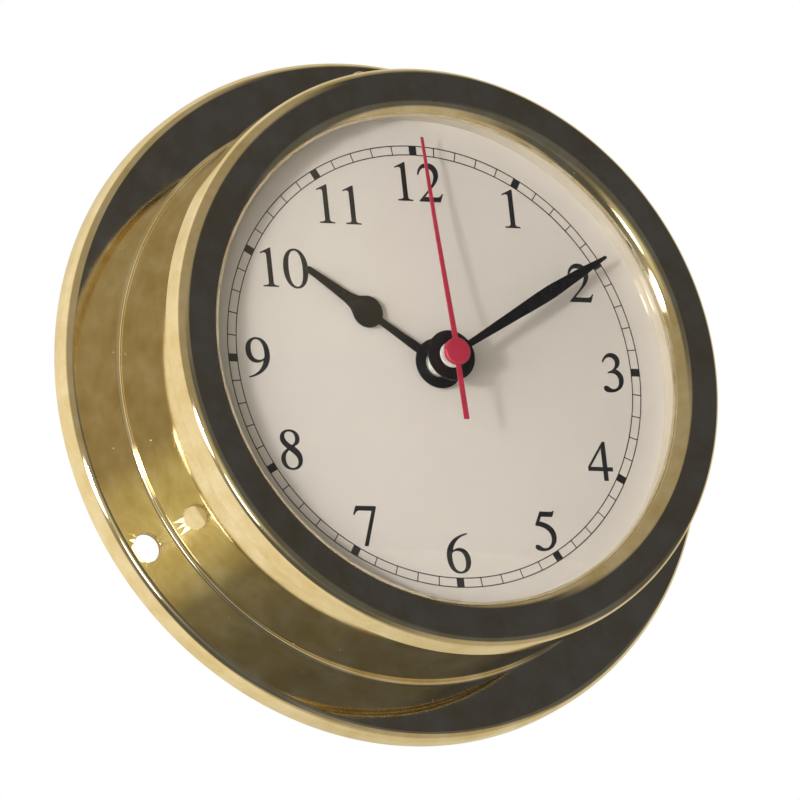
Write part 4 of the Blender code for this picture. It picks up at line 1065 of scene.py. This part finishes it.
# Figures of a plain book face, the outer outline first. Slashes set the parts of an outline apart:
# its start, then lines (the x and y of their end) and curves (two controls and an end).
FIGURE_WIDTH = 500.0
FIGURE_TOP = 676.0
FIGURE_DIP = 14.0
FIGURE_PATHS: dict[str, tuple[str, ...]] = {
    "0": (
        "250 676/384 676 476 540 476 336/476 118 380 -14 248 -14/122 -14 24 122 24 332/"
        "24 538 118 676 250 676",
        "250 648/164 648 116 540 116 330/116 124 166 12 250 12/334 12 384 120 384 330/"
        "384 540 334 648 250 648",
    ),
    "1": (
        "118 0/394 0/394 16/330 18 303 32 303 75/303 674/292 676/111 590/111 574/"
        "170 600 222 606 222 545/222 75/222 32 195 18 118 16",
    ),
    "2": (
        "475 137/462 142/430 92 410 76 350 76/128 76/285 240/368 327 424 397 424 490/"
        "424 600 343 676 239 676/184 676 132 654 95 613/63 578 48 545 31 472/51 467/"
        "91 565 127 597 196 597/280 597 337 540 337 456/337 378 291 285 207 196/29 12/29 0/420 0",
    ),
    "3": (
        "58 520/92 600 150 676 243 676/330 676 392 624 392 540/392 478 358 432 300 392/"
        "376 362 431 305 431 222/431 80 310 -14 153 -14/80 -14 42 14 42 50/42 78 62 96 86 96/"
        "108 96 126 86 152 66/176 48 192 40 216 40/296 40 346 106 346 190/346 280 290 328 210 328/"
        "190 328 172 327 152 322/147 338/240 368 308 420 308 504/308 570 264 608 206 608/"
        "150 608 110 574 76 512",
    ),
    "4": (
        "472 231/370 231/370 676/326 676/12 231/12 167/292 167/292 0/370 0/370 167/472 167",
        "291 231/52 231/291 571",
    ),
    "5": (
        "185 585/372 585/392 585 398 588 405 602/440 682/430 690/414 672 404 668 382 668/174 668/"
        "68 438/66 432 70 428 77 427/240 410 352 340 352 206/352 112 286 30 204 30/"
        "180 30 160 38 130 60/104 80 86 88 66 88/44 88 28 74 28 52/28 12 82 -14 158 -14/"
        "312 -14 438 96 438 236/438 380 330 468 146 496",
    ),
    "6": (
        "448 684/220 640 34 500 34 270/34 94 118 -14 252 -14/384 -14 468 84 468 214/"
        "468 334 396 422 286 422/240 422 196 406 152 374/176 520 300 630 450 668",
        "240 378/330 378 378 300 378 190/378 78 330 14 258 14/176 14 124 110 124 262/"
        "124 300 130 330 142 340/164 362 202 378 240 378",
    ),
    "7": (
        "449 676/79 676/20 530/37 522/80 590 98 602 150 602/370 602/172 -8/237 -8/449 660",
    ),
    "8": (
        "310 390/402 326 445 262 445 178/445 66 360 -14 247 -14/134 -14 56 58 56 158/"
        "56 232 92 284 186 350/96 424 70 466 70 528/70 614 146 676 254 676/"
        "356 676 424 616 424 534/424 468 390 424 310 390",
        "274 406/332 444 350 480 350 532/350 602 312 648 246 648/188 648 148 612 148 558/"
        "148 506 186 458 274 406",
        "216 326/150 274 132 228 132 164/132 72 178 14 250 14/320 14 368 64 368 132/"
        "368 206 330 246 216 326",
    ),
}


def trace(path: str, steps: int = 9) -> list[Point]:
    """Follow the lines and curves of a path.

    Args:
        path: one outline of a figure.
        steps: edges per curve.

    Returns:
        The outline's points, without a doubled last point.
    """
    points: list[Point] = []
    for part in path.split("/"):
        numbers = [float(number) for number in part.split()]
        *controls, end = zip(numbers[::2], numbers[1::2])
        if not controls:
            points.append(end)
            continue
        a, (b, c) = points[-1], controls
        for i in range(1, steps + 1):
            t = i / steps
            u = 1.0 - t
            points.append(tuple(u ** 3 * a[k] + 3 * u * u * t * b[k] + 3 * u * t * t * c[k]
                                + t ** 3 * end[k] for k in (0, 1)))
    if math.dist(points[0], points[-1]) < 1.0:
        points.pop()
    return points


def figure_outlines(figure: str) -> list[list[Point]]:
    """Trace a figure; a nine is a six turned half round.

    Args:
        figure: one figure from 0 to 9.

    Returns:
        Its outlines, the outer one first.
    """
    if figure == "9":
        return [[(FIGURE_WIDTH - x, FIGURE_TOP - FIGURE_DIP - y) for x, y in outline]
                for outline in figure_outlines("6")]
    return [trace(path) for path in FIGURE_PATHS[figure]]


@dataclass
class Dial(Assembly):
    """The painted dial with its figures and minute track, and the plate behind it."""

    radius: float = 49.3 * MM
    back: float = 22.2 * MM
    front: float = 23.0 * MM
    ease: float = 0.06 * MM
    hole: float = 2.65 * MM
    print_height: float = 0.02 * MM
    overprint: float = 0.002 * MM
    track_inner: float = 39.02 * MM
    track_outer: float = 40.68 * MM
    line: float = 0.19 * MM
    block: float = 1.45 * MM
    figure_height: float = 7.15 * MM
    figure_advance: float = 5.2 * MM
    figure_weight: float = 0.05 * MM
    figure_centres: tuple[Point, ...] = (
        (18.45, 29.83), (30.77, 16.45), (35.4, -0.1), (30.66, -16.73), (18.11, -29.92),
        (0.2, -34.44), (-17.2, -29.94), (-30.45, -16.41), (-34.94, 0.28), (-28.35, 16.92),
        (-15.94, 29.15), (0.11, 34.02))
    carrier_back: float = 20.9 * MM
    carrier_front: float = 21.9 * MM
    carrier_step: float = 7.3 * MM
    carrier_slope: float = 13.3 * MM
    carrier_lean: float = 0.5 * MM
    carrier_hole: float = 4.3 * MM
    carrier_ease: float = 0.35 * MM
    dish_front: float = 17.9 * MM
    dish_back: float = 16.9 * MM

    def build(self) -> None:
        """Make the dial's pieces."""
        section = eased(rectangle(self.hole, self.radius, self.back, self.front), self.ease, 2)
        self.bench.piece("dial_painted", lathe(section), Palette.dial, Body.CASE, ["dial_plate"])
        self.build_track()
        self.build_figures()
        self.build_carrier()

    def build_track(self) -> None:
        """Print the two circles, the minute strokes and the hour blocks."""
        low, high, half = self.front, self.front + self.print_height, 0.5 * self.line
        bm = bmesh.new()
        for radius in (self.track_inner, self.track_outer):
            lathe(rectangle(radius - half, radius + half, low, high), steps=360, body=bm)
        for minute in range(60):
            turn = math.radians(6 * minute)
            width = 0.5 * (self.block if minute % 5 == 0 else self.line)
            stroke = rectangle(-width, width, self.track_inner + half, self.track_outer - half)
            turned = [(x * math.cos(turn) - y * math.sin(turn),
                       x * math.sin(turn) + y * math.cos(turn)) for x, y in stroke]
            slab([turned], low, high + self.overprint, body=bm)
        self.bench.piece("minute_track", bm, Palette.ink, Body.CASE)

    def build_figures(self) -> None:
        """Print the twelve hour numerals, all upright."""
        bm = bmesh.new()
        scale = self.figure_height / FIGURE_TOP
        shift = 0.5 * (self.figure_advance - FIGURE_WIDTH * scale)
        for hour, (x, y) in enumerate(in_mm(self.figure_centres), 1):
            text = str(hour)
            for index, figure in enumerate(text):
                left = x + self.figure_advance * (index - 0.5 * len(text))
                outlines = [[(left + shift + px * scale, y - 0.5 * self.figure_height + py * scale)
                             for px, py in outline] for outline in figure_outlines(figure)]
                slab(outlines, self.front, self.front + self.print_height, body=bm,
                     grow=self.figure_weight)
        self.bench.piece("hour_numerals", bm, Palette.ink, Body.CASE)

    def build_carrier(self) -> None:
        """Make the dished plate that the movement hangs from."""
        outer, inner = self.radius - self.carrier_step, self.radius - self.carrier_slope
        section = [(self.radius, self.carrier_back), (self.radius, self.carrier_front),
                   (outer, self.carrier_front), (inner, self.dish_front),
                   (self.carrier_hole, self.dish_front), (self.carrier_hole, self.dish_back),
                   (inner + self.carrier_lean, self.dish_back),
                   (outer + self.carrier_lean, self.carrier_back)]
        self.bench.piece("carrier_pressed", lathe(eased(section, self.carrier_ease), steps=160),
                         Palette.steel, Body.CASE, ["movement_carrier"])


# ---------------------------------------------------------------- hands

@dataclass
class Hands(Assembly):
    """The three hands, each drawn along y and turned to the time shown; the minute and seconds
    hands are bent under the glass.

    An edge is written as points of (distance from the hub, half width), in millimetres.
    """

    crisp: float = 50.0
    sheet: float = 0.3 * MM
    hub: float = 4.6 * MM
    ease: float = 0.06 * MM
    hour_back: float = 24.0 * MM
    hour_angle: float = 304.65
    hour_length: float = 29.4 * MM
    hour_tip: float = 0.6 * MM
    hour_root: float = 0.88 * MM
    hour_hole: float = 2.65 * MM
    stem: tuple[Point, ...] = ((5.8, 0.86), (8.0, 0.78), (11.0, 0.69), (12.6, 0.68))
    pear: Point = (15.9 * MM, 2.95 * MM)
    pear_waist: float = 0.72 * MM
    pear_turn: float = 35.0
    neck: tuple[Point, ...] = ((18.3, 1.85), (19.0, 1.42), (20.2, 1.12), (22.0, 0.95),
                               (26.0, 0.73), (28.6, 0.6))
    minute_back: float = 28.75 * MM
    minute_angle: float = 59.6
    minute_length: float = 40.3 * MM
    minute_tip: float = 0.3 * MM
    minute_root: float = 0.62 * MM
    minute_hole: float = 1.75 * MM
    minute_drop: float = 2.483 * MM
    leaf: tuple[Point, ...] = (
        (5.4, 0.65), (8.0, 0.72), (12.0, 0.86), (16.5, 1.0), (21.0, 1.18), (25.0, 1.27),
        (27.2, 1.2), (29.4, 1.08), (31.5, 0.98), (33.5, 0.88), (35.6, 0.7), (37.8, 0.48),
        (40.0, 0.3))
    collet: Point = (1.5 * MM, 2.3 * MM)
    collet_sunk: float = 0.05 * MM
    collet_rise: float = 0.25 * MM
    collet_ease: float = 0.05 * MM
    second_back: float = 30.95 * MM
    second_angle: float = 359.95
    second_length: float = 41.0 * MM
    second_tail: float = 12.6 * MM
    second_ease: float = 0.04 * MM
    second_widths: Triple = (0.5 * MM, 0.375 * MM, 0.25 * MM)
    second_tail_rise: float = 0.8 * MM
    second_tip_drop: float = 4.123 * MM
    second_bend: float = 24.0 * MM
    second_bend_drop: float = 2.6 * MM
    bend_reach: float = 2.2 * MM
    bend_extra: float = 0.198 * MM
    cap_radius: float = 2.45 * MM
    cap_front: float = 31.75 * MM
    cap_sunk: float = 0.15 * MM
    cap_back_ease: float = 0.1 * MM
    cap_front_ease: float = 0.25 * MM
    tube: Point = (0.8 * MM, 1.2 * MM)
    tube_back: float = 29.65 * MM

    def build(self) -> None:
        """Make the three hands."""
        self.build_hour()
        self.build_minute()
        self.build_second()

    def outline(self, half: float, edge: Sequence[Point]) -> list[Point]:
        """Mirror one edge and close it round the hub.

        Args:
            half: the half width where the edge leaves the hub.
            edge: the edge from there to the tip.

        Returns:
            The hand's outline.
        """
        opening = math.degrees(math.atan2(half, math.sqrt(self.hub ** 2 - half ** 2)))
        hub = arc((0.0, 0.0), self.hub, 90 + opening, 450 - opening, 60)
        return hub + self.mirrored(edge)

    @staticmethod
    def mirrored(edge: Sequence[Point]) -> list[Point]:
        """Return an edge of (distance, half width) and its mirror image, as points of the dial."""
        return [(half, distance) for distance, half in edge] + [
            (-half, distance) for distance, half in reversed(edge)]

    @staticmethod
    def tip(length: float, half: float) -> list[Point]:
        """Return the edge points of a round tip."""
        return arc((length - half, 0.0), half, 90, 0, 6)[:-1]

    @staticmethod
    def smooth(knots: Sequence[Point], steps: int = 4) -> list[Point]:
        """Run a smooth curve through knots.

        Args:
            knots: points of an edge.
            steps: edges between two knots.

        Returns:
            The curve's points, with the first and last knot.
        """
        points, last = [], len(knots) - 1
        for i in range(last):
            p0, p1, p2, p3 = (Vector(knots[min(max(k, 0), last)]) for k in range(i - 1, i + 3))
            for step in range(steps):
                t = step / steps
                points.append(tuple(
                    0.5 * ((2 * p1) + (p2 - p0) * t + (2 * p0 - 5 * p1 + 4 * p2 - p3) * t * t
                           + (3 * p1 - p0 - 3 * p2 + p3) * t ** 3)))
        return points + [knots[-1]]

    @staticmethod
    def bend(bm: BMesh, knots: Sequence[Point]) -> None:
        """Bend a hand that lies along y.

        Args:
            bm: the hand's mesh.
            knots: points of (distance, rise), tail end first.
        """
        for vert in bm.verts:
            along = vert.co.z
            for (near, low), (far, high) in zip(knots, knots[1:]):
                if near <= along <= far:
                    vert.co.y -= low + (high - low) * (along - near) / (far - near)
                    break

    def finish(self, name: str, bm: BMesh, angle: float, finish: Finish, body: Body) -> None:
        """Turn a hand to its place on the dial and make it a piece.

        Args:
            name: the frame's node that it stands for.
            bm: its mesh, pointing to 12 o'clock.
            angle: how far it is turned, in degrees clockwise.
            finish: its finish.
            body: the body that it rides on.
        """
        turn = Matrix.Rotation(math.radians(angle), 4, Vector((0.0, 1.0, 0.0)))
        bmesh.ops.transform(bm, matrix=turn, verts=bm.verts[:])
        self.bench.piece(name + "_cut", bm, finish, body, [name], self.crisp)

    def build_hour(self) -> None:
        """Make the hour hand with the pear on its stem."""
        centre, radius = self.pear
        waist = math.degrees(-math.acos(self.pear_waist / radius))
        pear = arc((0.0, centre), radius, waist, self.pear_turn, 22)
        pear = [(distance, half) for half, distance in pear]
        neck = self.smooth([pear[-1], *in_mm(self.neck)], steps=5)
        edge = self.smooth(in_mm(self.stem)) + pear[:-1] + neck
        edge += self.tip(self.hour_length, self.hour_tip)
        body = slab([self.outline(self.hour_root, edge), circle(self.hour_hole)], self.hour_back,
                    self.hour_back + self.sheet, self.ease)
        self.finish("hour_hand", body, self.hour_angle, Palette.black, Body.HOURS)

    def build_minute(self) -> None:
        """Make the minute hand, a long leaf, and the collet that it sits on."""
        front = self.minute_back + self.sheet
        edge = self.smooth(in_mm(self.leaf))[:-1] + self.tip(self.minute_length, self.minute_tip)
        body = slab([self.outline(self.minute_root, edge), circle(self.minute_hole)],
                    self.minute_back, front, self.ease)
        self.bend(body, [(self.hub, 0.0), (self.minute_length + self.sheet, -self.minute_drop)])
        self.finish("minute_hand", body, self.minute_angle, Palette.black, Body.MINUTES)
        section = rectangle(*self.collet, front - self.collet_sunk, front + self.collet_rise)
        section = eased(section, self.collet_ease, 2)
        self.bench.piece("minute_collet_turned", lathe(section, steps=64), Palette.acetal,
                         Body.MINUTES)

    def build_second(self) -> None:
        """Make the seconds hand: a bent blade under a round cap with a tube."""
        wide, middle, narrow = self.second_widths
        cap, bend, soft, steps = self.cap_radius, self.second_bend, self.bend_reach, 8
        edge = [(-self.second_tail, wide), (-cap, wide), (cap, wide), (bend, middle),
                (self.second_length, narrow)]
        dense = [(d0 + (d1 - d0) * i / steps, w0 + (w1 - w0) * i / steps)
                 for (d0, w0), (d1, w1) in zip(edge, edge[1:]) for i in range(steps)]
        body = slab([self.mirrored([*dense, edge[-1]])], self.second_back,
                    self.second_back + self.sheet, self.second_ease)
        before = -self.second_bend_drop * (bend - soft - cap) / (bend - cap)
        self.bend(body, [(-self.second_tail - self.sheet, self.second_tail_rise), (-cap, 0.0),
                         (cap, 0.0), (bend - soft, before),
                         (bend + soft, -self.second_bend_drop - self.bend_extra),
                         (self.second_length + self.sheet, -self.second_tip_drop)])
        back, low, high = self.second_back - self.cap_sunk, self.cap_back_ease, self.cap_front_ease
        bore, tube = self.tube
        section = [(0.0, back), (bore, back), (bore, self.tube_back), (tube, self.tube_back),
                   (tube, back), *arc((cap - low, back + low), low, -90, 0, 3),
                   *arc((cap - high, self.cap_front - high), high, 0, 90, 6), (0.0, self.cap_front)]
        lathe(section, steps=72, closed=False, body=body)
        self.finish("second_hand", body, self.second_angle, Palette.red, Body.SECONDS)


# ---------------------------------------------------------------- movement

@dataclass
class Movement(Assembly):
    """The battery movement: its nodes keep their shapes and get their finishes."""

    finishes: dict[str, Finish] = field(default_factory=lambda: {
        "fixing_washer": Palette.steel, "fixing_nut": Palette.turned_brass,
        "movement_base": Palette.plastic, "movement_cover": Palette.plastic,
        "mid_plate": Palette.natural, "rotor": Palette.magnet,
        "intermediate_wheel": Palette.acetal, "second_wheel": Palette.acetal,
        "third_wheel": Palette.acetal, "minute_wheel": Palette.acetal,
        "motion_wheel": Palette.acetal, "hour_wheel": Palette.acetal,
        "setting_knob": Palette.plastic, "stator": Palette.steel, "coil": Palette.copper,
        "circuit_board": Palette.laminate, "quartz_can": Palette.steel,
        "contact_positive": Palette.steel, "contact_negative": Palette.steel,
    })
    cell_radius: float = 7.1 * MM
    cell_bevel: float = 0.5 * MM
    stud_radius: float = 2.6 * MM
    stud_height: float = 1.0 * MM
    sleeve: float = 0.1 * MM
    sleeve_lip: float = 1.3 * MM
    mark_rise: float = 0.2 * MM
    mark_root: float = 0.05 * MM
    mark_width: float = 0.6 * MM
    sign_length: float = 3.0 * MM
    sign_place: Point = (23.5 * MM, -8.6 * MM)
    arrow_radius: float = 6.6 * MM
    arrow_ends: Point = (35.0, 135.0)
    arrow_head: float = 1.0 * MM

    def build(self) -> None:
        """Dress the movement's nodes and build what they lack."""
        for node, finish in self.finishes.items():
            self.bench.dress(node, finish)
        self.build_cell()
        self.build_marks()

    def cell_side(self, foot: float, shoulder: float, layer: float) -> list[Point]:
        """Draw the cell's side with its bevels.

        Args:
            foot: where the side begins, along the cell.
            shoulder: where it ends.
            layer: how far it lies under the sleeve's outside.

        Returns:
            The side's points.
        """
        side, edge = self.cell_radius - layer, self.cell_radius - layer - self.cell_bevel
        return [(edge, foot + layer), (side, foot + self.cell_bevel),
                (side, shoulder - self.cell_bevel), (edge, shoulder - layer)]

    def build_cell(self) -> None:
        """Make the battery, lying along x: a can with its stud, and the sleeve shrunk round it."""
        low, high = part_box("battery")
        foot, tip = 0.5 * (low[0] - high[0]), 0.5 * (high[0] - low[0])
        shoulder, thin, stud = tip - self.stud_height, self.sleeve, self.stud_radius
        lip = self.cell_radius - self.sleeve_lip
        under = self.cell_side(foot, shoulder, thin)
        can = [(0.0, foot + thin), *under, (stud, shoulder - thin), (stud, tip - 0.5 * thin),
               (stud - 0.5 * thin, tip), (0.0, tip)]
        sleeve = [(lip, foot), *self.cell_side(foot, shoulder, 0.0), (lip, shoulder),
                  (lip, shoulder - thin), *reversed(under), (lip, foot + thin)]
        centre = Vector([0.5 * (a + b) for a, b in zip(low, high)])
        lying = Matrix.Translation(centre) @ Matrix.Rotation(0.25 * TAU, 4, "Z")
        for name, section, closed, finish, stands_for in (
                ("battery_can", can, False, Palette.steel, ["battery"]),
                ("battery_sleeve", sleeve, True, Palette.jacket, [])):
            bm = lathe(section, steps=64, closed=closed)
            bmesh.ops.transform(bm, matrix=lying, verts=bm.verts)
            self.bench.piece(name, bm, finish, Body.CELL, stands_for)

    def build_marks(self) -> None:
        """Raise the battery's signs and the setting arrow on the back of the cover."""
        back = -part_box("movement_cover")[1][1]
        low, high = back - self.mark_rise, back + self.mark_root
        long, thin = 0.5 * self.sign_length, 0.5 * self.mark_width
        x, y = self.sign_place
        plus = [(thin, thin), (thin, long), (-thin, long), (-thin, thin), (-long, thin),
                (-long, -thin), (-thin, -thin), (-thin, -long), (thin, -long), (thin, -thin),
                (long, -thin), (long, thin)]
        bm = bmesh.new()
        for across, sign in ((x, plus), (-x, rectangle(-long, long, -thin, thin))):
            slab([[(across + u, y + v) for u, v in sign]], low, high, body=bm)
        corner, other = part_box("setting_knob")
        centre = (0.5 * (corner[0] + other[0]), 0.5 * (corner[2] + other[2]))
        radius, (start, end) = self.arrow_radius, self.arrow_ends
        turn = math.radians(end)
        reach = turn + 2.0 * self.arrow_head / radius
        arrow = [*arc(centre, radius + thin, start, end, 20),
                 polar(radius + self.arrow_head, turn, centre), polar(radius, reach, centre),
                 polar(radius - self.arrow_head, turn, centre),
                 *arc(centre, radius - thin, end, start, 20)]
        slab([arrow], low, high, body=bm)
        self.bench.piece("cover_marks", bm, Palette.plastic, Body.CASE)


# ---------------------------------------------------------------- studio

@dataclass
class Lamp:
    """A soft lamp far out in one direction from the clock, given as degrees to the right and up."""

    name: str
    bearing: float
    elevation: float
    width: float
    height: float
    glow: float
    colour: Triple = (1.0, 0.97, 0.93)
    distance: float = 1.5

    def build(self) -> None:
        """Hang the lamp, facing the clock; its power follows from its area and its glow."""
        data = bpy.data.lights.new(self.name, "AREA")
        data.shape, data.size, data.size_y = "ELLIPSE", self.width, self.height
        data.energy = self.glow * math.pi ** 2 * 0.25 * self.width * self.height
        data.color = self.colour
        across, rise = math.radians(self.bearing), math.radians(self.elevation)
        towards = Vector((math.sin(across) * math.cos(rise), -math.cos(across) * math.cos(rise),
                          math.sin(rise)))
        lamp = add_object(self.name, data)
        lamp.location = towards * self.distance
        lamp.rotation_euler = towards.to_track_quat("Z", "Y").to_euler()


@dataclass
class Studio(Assembly):
    """Floor, sky and lamps, and the camera at the photograph's angle.

    A fade holds the two places between which one tone gives way to the next: heights or shares of
    a ray's direction. An edge holds a bearing in degrees and how softly the tones meet there.
    """

    floor_drop: float = 0.56
    floor_side: float = 6.0
    lens: float = 385.72
    sensor: float = 36.0
    clip: Point = (0.05, 50.0)
    shift: float = 0.0009
    white: Triple = (1.0, 1.0, 1.0)
    left_tone: Triple = (0.37, 0.315, 0.21)
    low_tone: Triple = (0.223, 0.213, 0.175)
    low_fade: Point = (-0.3, -0.42)
    glow_tone: Triple = (0.70, 0.66, 0.40)
    glow_towards: Triple = (-0.442, -0.868, -0.225)
    glow_fade: Point = (0.962, 1.0)
    middle_tone: Triple = (0.115, 0.115, 0.11)
    middle_edge: Point = (-8.0, 0.1)
    middle_fades: tuple[Point, Point] = ((0.36, 0.24), (-0.56, -0.48))
    deep_tone: Triple = (0.105, 0.105, 0.10)
    deep_fade: Point = (-0.48, -0.62)
    floor_tone: Triple = (0.48, 0.41, 0.29)
    floor_edge: Point = (15.0, 0.2)
    floor_fades: tuple[Point, Point] = ((-0.88, -0.96), (-0.5, -0.62))
    dark_tone: Triple = (0.056, 0.056, 0.065)
    dark_edge: Point = (22.0, 0.07)
    dark_fades: tuple[Point, Point] = ((0.93, 0.8), (-0.2, -0.06))
    white_tone: Triple = (0.975, 0.86, 0.62)
    side_tone: Triple = (0.705, 0.625, 0.44)
    side_fade: Point = (-0.48, 0.3)
    behind_slant: float = 0.15
    behind_fade: Point = (-0.15, 0.12)
    camera: Triple = (-0.69547, -1.30282, -0.42153)
    right: Triple = (0.88982383, -0.44389714, -0.10568291)
    up: Triple = (-0.03236381, -0.29241854, 0.95574263)
    forward: Triple = (0.45515506, 0.84702227, 0.27456719)
    lamps: tuple[Lamp, ...] = (
        Lamp("key", -36.0, -21.0, 0.36, 0.36, 5.0),
        Lamp("window", -62.0, -8.0, 0.95, 0.36, 2.8),
        Lamp("spot", -53.0, -5.0, 0.17, 0.17, 115.0),
    )

    def build(self) -> None:
        """Set up everything round the clock."""
        self.build_floor()
        self.build_sky()
        for lamp in self.lamps:
            lamp.build()
        self.build_camera()

    def build_floor(self) -> None:
        """Lay a plain pale floor below the clock."""
        half = 0.5 * self.floor_side
        mesh = bpy.data.meshes.new("floor")
        corners = [(x, y, 0.0) for x, y in rectangle(-half, half, -half, half)]
        mesh.from_pydata(corners, [], [range(4)])
        mesh.materials.append(self.bench.materials[Palette.floor])
        floor = add_object("floor", mesh)
        floor.location = (0.0, 0.0, -self.floor_drop)
        floor.visible_glossy = False

    def build_sky(self) -> None:
        """Make a sky that is white behind the clock and dark before it."""
        scene = bpy.context.scene
        scene.world = scene.world or bpy.data.worlds.new("studio")
        scene.world.use_nodes = True
        nodes = Nodes(scene.world.node_tree)
        nodes.tree.nodes.clear()
        room = nodes.feed(nodes.add("Background"), Color=self.room_tone(nodes))
        seen = nodes.feed(nodes.add("Background"), Color=(*self.white, 1.0))
        nodes.mix_shaders(nodes.add("LightPath").outputs["Is Camera Ray"], room, seen,
                          nodes.add("OutputWorld"))
        scene.view_settings.view_transform = "Standard"

    def room_tone(self, nodes: Nodes) -> NodeSocket:
        """Shade the room by direction: white behind the clock, greys and a dark side before it.

        Args:
            nodes: the sky's nodes.

        Returns:
            The tone's socket.
        """
        x, y, z = nodes.split(nodes.add("TexCoord").outputs["Generated"])

        def along(*towards: float) -> NodeSocket:
            """Return how far a ray points towards a direction, from -1 to 1."""
            parts = [nodes.maths(Maths.TIMES, *pair) for pair in zip((x, y, z), towards)]
            return nodes.maths(Maths.ADD, *parts)

        def beyond(bearing: float, soft: float) -> NodeSocket:
            """Return how far a ray is to the right of a bearing, from 0 to 1."""
            turn = math.radians(bearing)
            return nodes.span(along(math.cos(turn), math.sin(turn), 0.0), -soft, soft)

        def within(fades: Sequence[Point]) -> NodeSocket:
            """Return how far a ray's height lies between an upper and a lower fade, from 0 to 1."""
            return nodes.maths(Maths.TIMES, *(nodes.span(z, *fade) for fade in fades))

        shade = nodes.blend(nodes.span(z, *self.low_fade), self.left_tone, self.low_tone)
        glow = nodes.span(along(*self.glow_towards), *self.glow_fade)
        shade = nodes.blend(glow, shade, self.glow_tone)
        middle = nodes.maths(Maths.TIMES, beyond(*self.middle_edge), within(self.middle_fades))
        shade = nodes.blend(middle, shade, self.middle_tone)
        shade = nodes.blend(nodes.span(z, *self.deep_fade), shade, self.deep_tone)
        near, far = (nodes.span(z, *fade) for fade in self.floor_fades)
        floor = nodes.blend(beyond(*self.floor_edge), near, far)
        shade = nodes.blend(floor, shade, self.floor_tone)
        dark = nodes.maths(Maths.TIMES, beyond(*self.dark_edge), within(self.dark_fades))
        shade = nodes.blend(dark, shade, self.dark_tone)
        slanted = nodes.maths(Maths.SUBTRACT, y, nodes.maths(Maths.TIMES, x, self.behind_slant))
        far_side = nodes.blend(nodes.span(x, *self.side_fade), self.white_tone, self.side_tone)
        return nodes.blend(nodes.span(slanted, *self.behind_fade), shade, far_side)

    def build_camera(self) -> None:
        """Place the camera below and to the left of the clock, looking up at it."""
        data = bpy.data.cameras.new("photographer")
        data.lens, data.sensor_width, data.shift_y = self.lens, self.sensor, self.shift
        data.clip_start, data.clip_end = self.clip
        camera = add_object("photographer", data)
        axes = Matrix((self.right, self.up, [-v for v in self.forward])).transposed().to_4x4()
        camera.matrix_world = Matrix.Translation(self.camera) @ axes
        bpy.context.scene.camera = camera


def main() -> None:
    """Build the clock from its case to its hands, then the studio round it."""
    logging.basicConfig(level=logging.INFO, format="%(message)s")
    bench = Bench(Materials())
    for assembly in (Case, Bezel, Dial, Hands, Movement, Studio):
        assembly(bench).build()
    bpy.context.view_layer.update()


if __name__ == "__main__":
    main()
